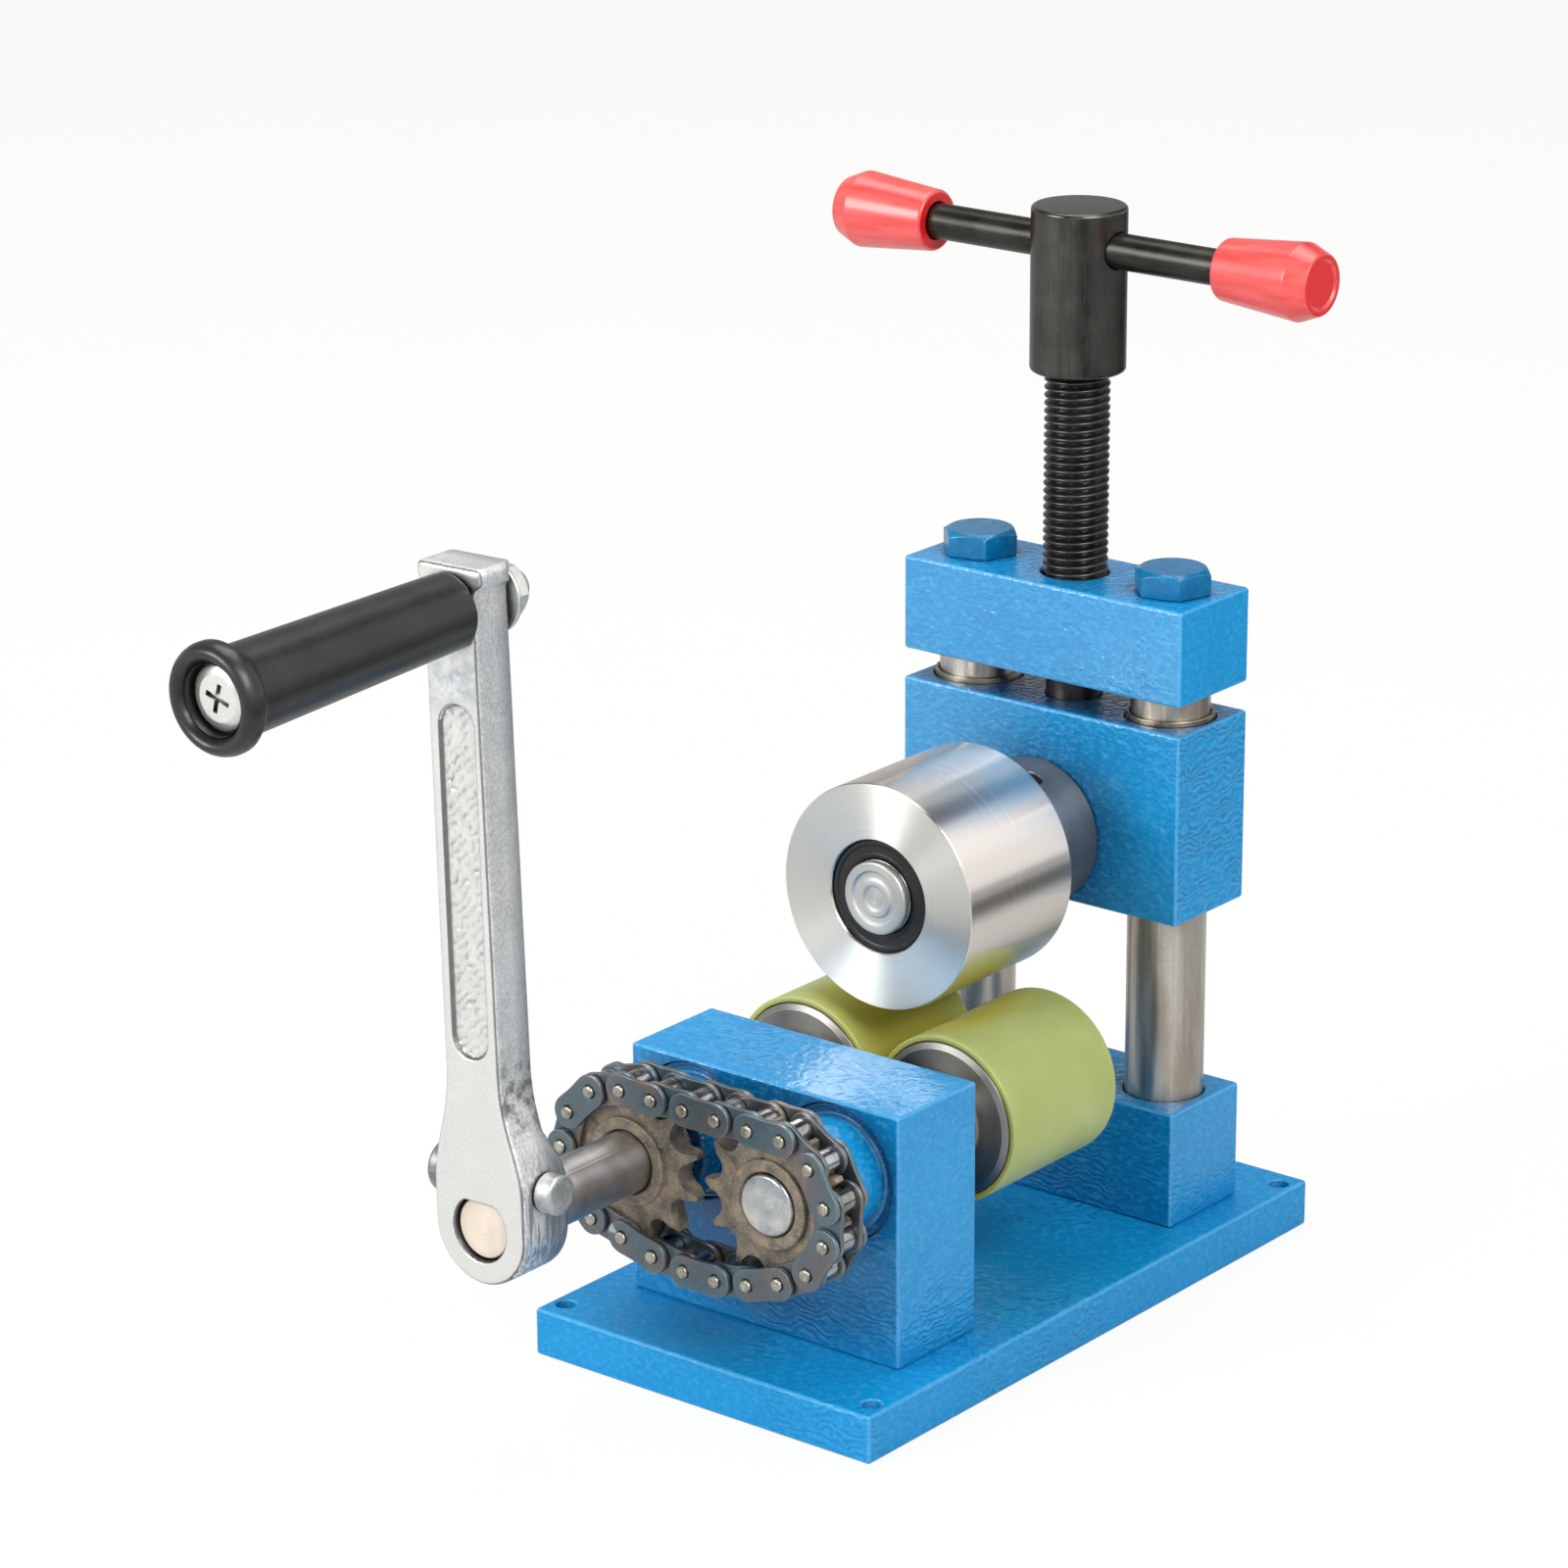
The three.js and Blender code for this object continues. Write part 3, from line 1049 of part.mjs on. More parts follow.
function makeRollerAxle() {
  const seat = PRESSURE_FRONT + SMALL_BEARING_RECESS - GAP;
  const front = seat - AXLE_HEAD_THICKNESS;
  const end = BLOCK_FRONT + AXLE_SEAT_DEPTH;
  return turnedY([
    [0, front], [AXLE_HEAD_RADIUS - AXLE_HEAD_EDGE, front],
    [AXLE_HEAD_RADIUS, front + AXLE_HEAD_EDGE],
    [AXLE_HEAD_RADIUS, seat], [AXLE_RADIUS, seat], [AXLE_RADIUS, end], [0, end],
  ]).translate(0, 0, PRESSURE_HEIGHT);
}

function makeCollar() {
  const bore = AXLE_RADIUS + GAP;
  const nose = bore + SMALL_BEARING_INNER_WALL;
  const start = PRESSURE_BACK - SMALL_BEARING_RECESS + GAP;
  const face = PRESSURE_BACK + COLLAR_NOSE;
  const body = turnedY([
    [bore, start], [nose, start], [nose, face], [COLLAR_RADIUS - BLOCK_EDGE, face],
    [COLLAR_RADIUS, face + BLOCK_EDGE], [COLLAR_RADIUS, BLOCK_FRONT - GAP], [bore, BLOCK_FRONT - GAP],
  ], ROUND_LARGE);
  const hole = turnedZ(rod(GRUB_RADIUS + GAP, AXLE_RADIUS, COLLAR_RADIUS + PAST), ROUND_SMALL)
    .translate(0, GRUB_Y, 0).rotateY(GRUB_TURN);
  return cut(body, hole).translate(0, 0, PRESSURE_HEIGHT);
}

function makeGrubScrew() {
  const start = AXLE_RADIUS + GAP;
  const body = turnedZ(rod(GRUB_RADIUS, start, start + GRUB_LENGTH), ROUND_SMALL);
  const socket = prism(hexagon(GRUB_SOCKET_RADIUS), GRUB_LENGTH)
    .translate(0, 0, start + GRUB_LENGTH / 2);
  return cut(body, socket).translate(0, GRUB_Y, 0).rotateY(GRUB_TURN)
    .translate(0, 0, PRESSURE_HEIGHT);
}

// Pressure roller: about its own axis

function makePressureRoller() {
  const seat = SMALL_BEARING_RADIUS;
  const depth = SMALL_BEARING_RECESS + SMALL_BEARING_WIDTH + GAP;
  const web = seat - SMALL_BEARING_OUTER_WALL;
  const mouth = seat + SMALL_BEARING_RECESS;
  const rim = PRESSURE_RADIUS - PRESSURE_EDGE;
  return turnedY([
    [mouth, PRESSURE_FRONT], [rim, PRESSURE_FRONT], [PRESSURE_RADIUS, PRESSURE_FRONT + PRESSURE_EDGE],
    [PRESSURE_RADIUS, PRESSURE_BACK - PRESSURE_EDGE], [rim, PRESSURE_BACK], [mouth, PRESSURE_BACK],
    [seat, PRESSURE_BACK - SMALL_BEARING_RECESS], [seat, PRESSURE_BACK - depth],
    [web, PRESSURE_BACK - depth], [web, PRESSURE_FRONT + depth], [seat, PRESSURE_FRONT + depth],
    [seat, PRESSURE_FRONT + SMALL_BEARING_RECESS],
  ], ROUND_LARGE);
}

// A small bearing's outer ring with the rubber seal on its front side
function makeSealedRing() {
  const outer = SMALL_BEARING_RADIUS - GAP;
  const race = SMALL_BEARING_RADIUS - SMALL_BEARING_OUTER_WALL;
  const lip = AXLE_RADIUS + SMALL_BEARING_INNER_WALL + 2 * GAP;
  const half = SMALL_BEARING_WIDTH / 2;
  return turnedY([
    [lip, -half], [outer, -half], [outer, half], [race, half],
    [race, SEAL_THICKNESS - half], [lip, SEAL_THICKNESS - half],
  ]);
}

// Feed screw and T-handle: about the screw's own axis

function makeFeedScrew() {
  const top = HANDLE_BOTTOM + HANDLE_HUB_SOCKET - GAP;
  const grooveHalf = RETAINING_PIN_RADIUS + GAP;
  const groove = SCREW_NECK_RADIUS - SCREW_GROOVE_DEPTH;
  return turnedZ([
    [0, NECK_BOTTOM + GAP], [SCREW_NECK_RADIUS, NECK_BOTTOM + GAP],
    [SCREW_NECK_RADIUS, GROOVE_Z - grooveHalf], [groove, GROOVE_Z - grooveHalf],
    [groove, GROOVE_Z + grooveHalf], [SCREW_NECK_RADIUS, GROOVE_Z + grooveHalf],
    [SCREW_NECK_RADIUS, CROSSHEAD_BOTTOM - SCREW_NECK_TAPER], [SCREW_RADIUS, CROSSHEAD_BOTTOM],
    [SCREW_RADIUS, top], [0, top],
  ]);
}

function makeHandleHub() {
  const edge = HANDLE_HUB_EDGE;
  const radius = HANDLE_HUB_RADIUS;
  const body = turnedZ(chamferedRod(radius, HANDLE_BOTTOM, HANDLE_TOP, edge), ROUND_LARGE);
  const socket = turnedZ(
    rod(SCREW_RADIUS + GAP, HANDLE_BOTTOM - PAST, HANDLE_BOTTOM + HANDLE_HUB_SOCKET),
  );
  const cross = turnedX(rod(T_BAR_RADIUS + GAP, -radius - PAST, radius + PAST), ROUND_SMALL)
    .translate(0, 0, T_BAR_Z);
  return cut(body, socket, cross);
}

function makeTBar() {
  return turnedX(rod(T_BAR_RADIUS, -T_BAR_HALF_LENGTH, T_BAR_HALF_LENGTH), ROUND_SMALL)
    .translate(0, 0, T_BAR_Z);
}

function makeKnob(side) {
  const bore = T_BAR_RADIUS + GAP;
  const start = KNOB_REACH - KNOB_LENGTH;
  const knob = turnedX([
    [bore, start], [KNOB_INNER_RADIUS - KNOB_EDGE, start], [KNOB_INNER_RADIUS, start + KNOB_EDGE],
    [KNOB_OUTER_RADIUS, KNOB_REACH - KNOB_BEVEL_LENGTH],
    [KNOB_OUTER_RADIUS - KNOB_BEVEL, KNOB_REACH], [0, KNOB_REACH],
    [0, T_BAR_HALF_LENGTH + GAP], [bore, T_BAR_HALF_LENGTH + GAP],
  ]);
  if (side < 0) knob.rotateZ(Math.PI);
  return knob.translate(0, 0, T_BAR_Z);
}

// Assembly

const machine = new THREE.Group();

const frame = new THREE.Group();
frame.add(piece('base_plate', makeBasePlate(), 'bluePaint'));
frame.add(piece('front_block', makeFrontBlock(), 'bluePaint'));
frame.add(piece('foot_block', makeFootBlock(), 'bluePaint'));
frame.add(piece('crosshead', makeCrosshead(), 'bluePaint'));
for (const [side, sign] of [['left', -1], ['right', 1]]) {
  const columnX = (sign * COLUMN_SPACING) / 2;
  const [screwX, screwY] = frontScrewPlaces()[side === 'left' ? 0 : 1];
  frame.add(piece(`front_block_screw_${side}`, capScrew(screwX, screwY), 'blackSteel'));
  frame.add(piece(`column_screw_${side}`, capScrew(columnX, COLUMN_Y), 'blackSteel'));
  frame.add(piece(`column_${side}`, makeColumn(columnX), 'steel'));
  frame.add(piece(`crosshead_bolt_${side}`, makeHexBolt(columnX), 'bluePaint'));
  const housing = new THREE.Group();
  housing.position.set((sign * SHAFT_SPACING) / 2, 0, SHAFT_HEIGHT);
  const raceEdge = SHAFT_RADIUS + GAP + BEARING_RING_WALL;
  housing.add(piece(`bearing_cover_${side}`, makeBearingCover(), 'bluePaint'));
  for (const [end, y] of [['front', FRONT_BEARING_Y], ['back', BACK_BEARING_Y]]) {
    const ring = makeOuterRing(BEARING_OUTER_RADIUS, BEARING_RING_WALL, raceEdge, BEARING_WIDTH);
    housing.add(piece(`${end}_outer_ring_${side}`, ring.translate(0, y, 0), 'steel'));
  }
  frame.add(housing);
}
frame.add(piece('drive_chain', makeChain(), 'chainSteel'));
machine.add(frame);

const drive = makeRunningGear('left');
const crank = new THREE.Group();
crank.rotation.y = CRANK_TILT;
crank.add(piece('drive_shaft', makeDriveShaft(), 'greySteel'));
crank.add(piece('crank_arm', makeCrankArm(), 'zinc'));
crank.add(piece('cotter_pin', makeCotterPin(), 'zinc'));
crank.add(piece('cotter_nut', makeCotterNut(), 'zinc'));
crank.add(piece('handle_bolt', makeHandleBolt(), 'zinc'));
crank.add(piece('handle_nut', makeHandleNut(), 'zinc'));
crank.add(piece('grip', makeGrip(), 'blackPlastic'));
drive.add(crank);
drive.add(piece('drive_sprocket', makeSprocket(Math.PI / 2), 'rustySteel'));
machine.add(drive);

const driven = makeRunningGear('right');
driven.add(piece('driven_shaft', makeShaft(CHAIN_Y - DRIVEN_SHAFT_OVERHANG), 'steel'));
driven.add(piece('driven_sprocket', makeSprocket(rightPhase()), 'rustySteel'));
machine.add(driven);

const slide = new THREE.Group();
slide.add(piece('slide_block', makeSlideBlock(), 'bluePaint'));
for (const [side, sign] of [['left', -1], ['right', 1]]) {
  slide.add(piece(`slide_bush_${side}`, makeBush((sign * COLUMN_SPACING) / 2), 'bronze'));
}
slide.add(piece('retaining_pin', makeRetainingPin(), 'steel'));
slide.add(piece('roller_axle', makeRollerAxle(), 'steel'));
slide.add(piece('axle_collar', makeCollar(), 'greySteel'));
slide.add(piece('collar_grub_screw', makeGrubScrew(), 'blackSteel'));
machine.add(slide);

const pressure = new THREE.Group();
pressure.position.set(0, 0, PRESSURE_HEIGHT);
pressure.add(piece('pressure_roller', makePressureRoller(), 'brightSteel'));
for (const [end, y, turn] of [['front', SMALL_FRONT_Y, 0], ['back', SMALL_BACK_Y, Math.PI]]) {
  const inner = makeInnerRing(AXLE_RADIUS, SMALL_BEARING_INNER_WALL, SMALL_BEARING_WIDTH);
  pressure.add(piece(`pressure_inner_ring_${end}`, inner.translate(0, y, 0), 'steel'));
  const outer = makeSealedRing().rotateX(turn).translate(0, y, 0);
  pressure.add(piece(`pressure_outer_ring_${end}`, outer, 'blackRubber'));
}
const spacerTube = turnedY(tube(
  AXLE_RADIUS + GAP, AXLE_RADIUS + GAP + SMALL_BEARING_INNER_WALL,
  SMALL_FRONT_Y + SMALL_BEARING_WIDTH / 2 + GAP, SMALL_BACK_Y - SMALL_BEARING_WIDTH / 2 - GAP,
));
pressure.add(piece('bearing_spacer', spacerTube, 'steel'));
machine.add(pressure);

const feed = new THREE.Group();
feed.position.set(0, COLUMN_Y, 0);
feed.add(piece('feed_screw', makeFeedScrew(), 'blackSteel'));
feed.add(piece('handle_hub', makeHandleHub(), 'blackSteel'));
feed.add(piece('t_bar', makeTBar(), 'blackSteel'));
feed.add(piece('knob_left', makeKnob(-1), 'redPlastic'));
feed.add(piece('knob_right', makeKnob(1), 'redPlastic'));
machine.add(feed);

export default machine;
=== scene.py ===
import json
import math
from math import cos, pi, radians, sin

import bmesh
import bpy
from mathutils import Matrix, Vector, noise

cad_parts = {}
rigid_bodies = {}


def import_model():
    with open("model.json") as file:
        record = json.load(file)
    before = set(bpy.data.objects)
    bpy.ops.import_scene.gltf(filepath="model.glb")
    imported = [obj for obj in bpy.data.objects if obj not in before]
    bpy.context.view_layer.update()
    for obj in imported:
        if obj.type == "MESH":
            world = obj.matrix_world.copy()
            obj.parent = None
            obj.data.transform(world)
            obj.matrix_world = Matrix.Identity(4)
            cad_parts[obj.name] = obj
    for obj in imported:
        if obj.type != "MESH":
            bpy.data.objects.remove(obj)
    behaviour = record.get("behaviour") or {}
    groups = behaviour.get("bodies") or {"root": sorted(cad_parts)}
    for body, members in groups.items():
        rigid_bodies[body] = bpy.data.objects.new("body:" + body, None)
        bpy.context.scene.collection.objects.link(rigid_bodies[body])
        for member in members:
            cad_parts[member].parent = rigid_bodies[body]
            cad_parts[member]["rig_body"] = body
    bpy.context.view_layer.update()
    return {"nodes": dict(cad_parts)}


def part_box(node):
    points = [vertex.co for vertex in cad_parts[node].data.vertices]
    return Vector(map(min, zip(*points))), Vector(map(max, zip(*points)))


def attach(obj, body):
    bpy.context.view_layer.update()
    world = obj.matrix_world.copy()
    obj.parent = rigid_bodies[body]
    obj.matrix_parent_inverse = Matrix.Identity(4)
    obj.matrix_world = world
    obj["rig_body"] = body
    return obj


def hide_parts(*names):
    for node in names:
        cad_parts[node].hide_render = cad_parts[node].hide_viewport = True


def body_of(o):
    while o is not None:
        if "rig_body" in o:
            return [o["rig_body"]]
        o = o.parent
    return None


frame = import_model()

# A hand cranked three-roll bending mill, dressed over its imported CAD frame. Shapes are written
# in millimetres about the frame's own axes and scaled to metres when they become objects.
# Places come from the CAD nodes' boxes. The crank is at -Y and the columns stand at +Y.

SCENE = bpy.context.scene
MM = 0.001
GAP = 0.3                # between a piece and the bore it sits in
PAST = 1                 # how far a cutting tool reaches past the piece it cuts
FINE, ROUND, COARSE = 128, 96, 48        # facets round a turned piece

# Camera, as fitted to the photograph
CAMERA_AZIMUTH = radians(38.693)
CAMERA_ELEVATION = radians(18.445)
CAMERA_ROLL = radians(-0.276)
CAMERA_DISTANCE = 1.3656
CAMERA_TARGET = Vector((-0.045594, 0, 0.121131))
CAMERA_LENS = 128.5

# Chain, as in the CAD model
PITCH = 9.525
LINKS = 21
TEETH = 12
PLATE_HEIGHT = 8.2
PLATE_THICKNESS = 1.3
PLATE_WAIST = 0.2
INNER_WIDTH = 5.72
CHAIN_ROLLER_RADIUS = 3.175
BUSHING_RADIUS = 2.3
PIN_RADIUS = 1.64
PIN_OVERHANG = 0.75

# Crank, as in the CAD model
CRANK_TILT = radians(-1.5)
CRANK_LENGTH = 146
GRIP_DROOP = radians(1.6)
HUB_RADIUS = 13.4
HUB_THICKNESS = 16
ARM_THICKNESS = 11.8
SHAFT_FLAT = 6.2


def box(node):
    """Lowest and highest corners of a CAD node, in millimetres."""
    low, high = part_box(node)
    return Vector(low) / MM, Vector(high) / MM


def middle(node):
    low, high = box(node)
    return (low + high) / 2


def half(node, axis="z"):
    """Half of a CAD node's size along an axis, which is a round node's radius."""
    low, high = box(node)
    return (getattr(high, axis) - getattr(low, axis)) / 2


SHAFT_X, _, SHAFT_Z = middle("roller_core_right")
CHAIN_Y = middle("drive_chain").y
PITCH_RADIUS = PITCH / (2 * sin(pi / TEETH))
SHAFT_RADIUS = half("driven_shaft")
COLUMN_RADIUS = half("column_left", "x")
COLUMN_X, COLUMN_Y, _ = middle("column_right")
AXLE_Z = middle("pressure_roller").z
CRANK_FRONT = box("crank_arm")[0].y
ARM_MIDDLE = CRANK_FRONT + ARM_THICKNESS / 2
SHAFTS = {"left": (-SHAFT_X, 0, SHAFT_Z), "right": (SHAFT_X, 0, SHAFT_Z)}
COLUMNS = {"left": (-COLUMN_X, COLUMN_Y, 0), "right": (COLUMN_X, COLUMN_Y, 0)}
SCREWS = [f"{kind}_screw_{side}" for kind in ("front_block", "column") for side in SHAFTS]
AXLE = (0, 0, AXLE_Z)
SCREW_AXIS = (0, COLUMN_Y, 0)
CRANK_PLACE = Matrix.Translation(SHAFTS["left"]) @ Matrix.Rotation(CRANK_TILT, 4, "Y")
GRIP_PLACE = (
    CRANK_PLACE @ Matrix.Translation((0, ARM_MIDDLE, CRANK_LENGTH)) @ Matrix.Rotation(GRIP_DROOP, 4, "X")
)


def to_object(name, data, sharp=38):
    """An object in metres of a bmesh in millimetres, smooth, with flat faces kept flat."""
    bmesh.ops.recalc_face_normals(data, faces=data.faces)
    bmesh.ops.scale(data, vec=(MM, MM, MM), verts=data.verts)
    mesh = bpy.data.meshes.new(name)
    data.to_mesh(mesh)
    data.free()
    obj = bpy.data.objects.new(name, mesh)
    SCENE.collection.objects.link(obj)
    shade(obj, sharp)
    return obj


def shade(obj, sharp=38):
    obj.data.shade_smooth()
    obj.data.set_sharp_from_angle(angle=radians(sharp))
    if not obj.modifiers.get("flat faces"):
        obj.modifiers.new("flat faces", "WEIGHTED_NORMAL").keep_sharp = True


def bake(obj, sharp=38):
    """Applies the object's modifiers and shades the new mesh."""
    bpy.context.view_layer.update()
    mesh = bpy.data.meshes.new_from_object(obj.evaluated_get(bpy.context.evaluated_depsgraph_get()))
    obj.modifiers.clear()
    obj.data = mesh
    shade(obj, sharp)


def combine(obj, tools, operation="DIFFERENCE"):
    """Cuts the tools from the object, or joins them to it, and removes the tools."""
    obj.modifiers.clear()
    for cutter in tools:
        cutter.modifiers.clear()
        step = obj.modifiers.new("combine", "BOOLEAN")
        step.operation = operation
        step.solver = "EXACT"
        step.object = cutter
    bake(obj)
    for cutter in tools:
        bpy.data.objects.remove(cutter)
    return obj


def soften(obj, width):
    """Bevels the object's edges."""
    obj.modifiers.clear()
    bevel = obj.modifiers.new("soften", "BEVEL")
    bevel.width = width * MM
    bevel.segments = 3
    bevel.limit_method = "ANGLE"
    bevel.angle_limit = radians(25)
    bake(obj)
    return obj


def eased(profile, edge=0.2, steps=4):
    """Rounds the corners of a closed (radius, along) profile. A third number is a corner's own
    rounding, and a corner on the axis stays as it is."""
    rounded = []
    for i, corner in enumerate(profile):
        here = Vector(corner[:2])
        before = Vector(profile[i - 1][:2]) - here
        after = Vector(profile[(i + 1) % len(profile)][:2]) - here
        radius = corner[2] if len(corner) > 2 else edge
        plain = radius <= 0 or here.x < 1e-6 or before.length < 1e-6 or after.length < 1e-6
        if plain or before.angle(after) > radians(176):
            rounded.append(here)
            continue
        angle = before.angle(after)
        slope = math.tan(angle / 2)
        reach = min(radius / slope, 0.48 * before.length, 0.48 * after.length)
        start = here + before.normalized() * reach
        inward = (before.normalized() + after.normalized()).normalized()
        centre = here + inward * (reach * slope / sin(angle / 2))
        turn = 1 if (start - centre).cross(here - centre) > 0 else -1
        for k in range(steps + 1):
            spoke = start - centre
            spoke.rotate(Matrix.Rotation(turn * (pi - angle) * k / steps, 2))
            rounded.append(centre + spoke)
    return rounded


def spun(profile, axis="Y", at=(0, 0, 0), facets=ROUND, edge=0.2, place=None):
    """A bmesh of a closed (radius, along) profile spun about an axis through a point."""
    data = bmesh.new()

    def spot(radius, along, angle):
        c, s = radius * cos(angle), radius * sin(angle)
        return data.verts.new({"X": (along, c, s), "Y": (c, along, s), "Z": (c, s, along)}[axis])

    rings = [
        [spot(p.x, p.y, 2 * pi * k / facets) for k in range(1 if p.x < 1e-6 else facets)]
        for p in eased(profile, edge)
    ]
    for ring, other in zip(rings, rings[1:] + rings[:1]):
        for k in range(facets):
            spots = [(ring, k), (ring, k + 1), (other, k + 1), (other, k)]
            corners = dict.fromkeys(loop[n % len(loop)] for loop, n in spots)
            if len(corners) > 2:
                data.faces.new(tuple(corners))
    bmesh.ops.translate(data, vec=at, verts=data.verts)
    if place:
        bmesh.ops.transform(data, matrix=place, verts=data.verts)
    return data


def turned(name, profile, *places, **more):
    return to_object(name, spun(profile, *places, **more))


def tool(profile, *places, **more):
    return turned("tool", profile, *places, **more)


def rod(radius, start, end, *rounding):
    return [(0, start), (radius, start, *rounding), (radius, end, *rounding), (0, end)]


def pit(radius, floor, mouth):
    """The profile of a tool for a blind hole, which is sharp at its mouth."""
    profile = [(0, floor), (radius, floor), (radius, mouth, 0), (0, mouth)]
    return profile if floor < mouth else profile[::-1]


def tube(inner, outer, start, end):
    return [(inner, start), (outer, start), (outer, end), (inner, end)]


def through_hole(radius, start, end, flare=0.4):
    """The profile of a tool for a hole whose two mouths, at start and end, are eased."""
    mouth = radius + flare + PAST
    return [
        (0, start - PAST), (mouth, start - PAST, 0), (radius, start + flare, 0.6),
        (radius, end - flare, 0.6), (mouth, end + PAST, 0), (0, end + PAST),
    ]


def rounded_block(name, low, high, radius=0.9, steps=5):
    data = bmesh.new()
    bmesh.ops.create_cube(data, size=1)
    low, high = Vector(low), Vector(high)
    bmesh.ops.scale(data, vec=high - low, verts=data.verts)
    bmesh.ops.translate(data, vec=(low + high) / 2, verts=data.verts)
    bmesh.ops.bevel(
        data, geom=data.edges[:], offset=radius, segments=steps, profile=0.5, affect="EDGES",
    )
    return to_object(name, data)


def extruded(outline, start, end, rim=0.25, steps=2, holes=()):
    """A bmesh of an (x, z) outline standing from start to end along Y, its rims bevelled.
    The holes are (x, z, radius) and go right through."""
    data = bmesh.new()
    outlines = [outline] + [polygon(COARSE, radius, 0, (x, z)) for x, z, radius in holes]
    loops = [[data.verts.new((x, start, z)) for x, z in points] for points in outlines]
    rims = [data.edges.new(ends) for loop in loops for ends in zip(loop, loop[1:] + loop[:1])]
    if holes:
        bmesh.ops.triangle_fill(data, use_beauty=True, use_dissolve=False, edges=rims)
    else:
        data.faces.new(loops[0])
    grown = bmesh.ops.extrude_face_region(data, geom=data.faces[:])
    moved = [v for v in grown["geom"] if isinstance(v, bmesh.types.BMVert)]
    bmesh.ops.translate(data, vec=(0, end - start, 0), verts=moved)
    bmesh.ops.recalc_face_normals(data, faces=data.faces)
    if rim:
        sharp = [
            e for e in data.edges
            if len(e.link_faces) == 2 and e.calc_face_angle(0) > radians(70)
            and abs(e.verts[0].co.y - e.verts[1].co.y) < 1e-6
        ]
        bmesh.ops.bevel(data, geom=sharp, offset=rim, segments=steps, profile=0.5, affect="EDGES")
    return data


def prism(outline, start, end, place=Matrix(), name="tool"):
    """A plain prism of an (x, z) outline, from start to end along the place's Y."""
    data = extruded(outline, start, end, rim=0)
    bmesh.ops.transform(data, matrix=place, verts=data.verts)
    return to_object(name, data)


def copies(template, places):
    """One bmesh of the template at each place; the template is freed."""
    data = bmesh.new()
    for place in places:
        twins = {v: data.verts.new(place @ v.co) for v in template.verts}
        for face in template.faces:
            data.faces.new([twins[v] for v in face.verts])
    template.free()
    return data


def polygon(sides, radius, turn=0, centre=(0, 0)):
    angles = (turn + 2 * pi * k / sides for k in range(sides))
    return [(centre[0] + radius * cos(a), centre[1] + radius * sin(a)) for a in angles]


def arc(radius, start, sweep, steps, centre=(0, 0)):
    """Points on an arc, both of its ends among them."""
    angles = (start + sweep * k / steps for k in range(steps + 1))
    return [(centre[0] + radius * cos(a), centre[1] + radius * sin(a)) for a in angles]


class Nodes:
    """Makes the nodes of a tree."""

    def __init__(self, tree):
        self.tree = tree

    def node(self, kind, settings=(), **inputs):
        """A new node. An input goes by its socket's name, or by i and its socket's number."""
        made = self.tree.nodes.new(kind)
        for key, value in dict(settings).items():
            setattr(made, key, value)
        for key, value in inputs.items():
            index = int(key[1:]) if key[0] == "i" and key[1:].isdigit() else key.replace("_", " ")
            if isinstance(value, bpy.types.NodeSocket):
                self.tree.links.new(value, made.inputs[index])
            else:
                made.inputs[index].default_value = value
        return made

    def axes(self, kind):
        """The X, Y and Z of the Object, Normal or Generated coordinates."""
        coords = self.node("ShaderNodeTexCoord").outputs[kind]
        return self.node("ShaderNodeSeparateXYZ", Vector=coords).outputs

    def maths(self, operation, a, b=0.0):
        return self.node("ShaderNodeMath", {"operation": operation}, i0=a, i1=b).outputs[0]

    def times(self, a, b):
        return self.maths("MULTIPLY", a, b)

    def plus(self, a, b):
        return self.maths("ADD", a, b)

    def most(self, a, b):
        return self.maths("MAXIMUM", a, b)

    def blend(self, a, share, b):
        """The sum of a times the share and b times the rest."""
        return self.plus(self.times(a, share), self.times(b, 1 - share))

    def span(self, value, low, high, first=0.0, last=1.0):
        """Maps low to high onto first to last, also below zero."""
        return self.node(
            "ShaderNodeMapRange", Value=value, From_Min=low, From_Max=high, To_Min=first, To_Max=last,
        ).outputs[0]

    def ramp(self, value, *stops):
        made = self.node("ShaderNodeValToRGB", Fac=value)
        ramp = made.color_ramp
        while len(ramp.elements) < len(stops):
            ramp.elements.new(0.5)
        for element, (place, colour) in zip(ramp.elements, stops):
            element.position = place
            element.color = (*colour, 1) if isinstance(colour, tuple) else (colour, colour, colour, 1)
        return made.outputs["Color"]

    def step(self, value, start, end, first=0.0, last=1.0):
        """From first to last as the value, between zero and one, goes from start to end."""
        return self.ramp(value, (start, first), (end, last))


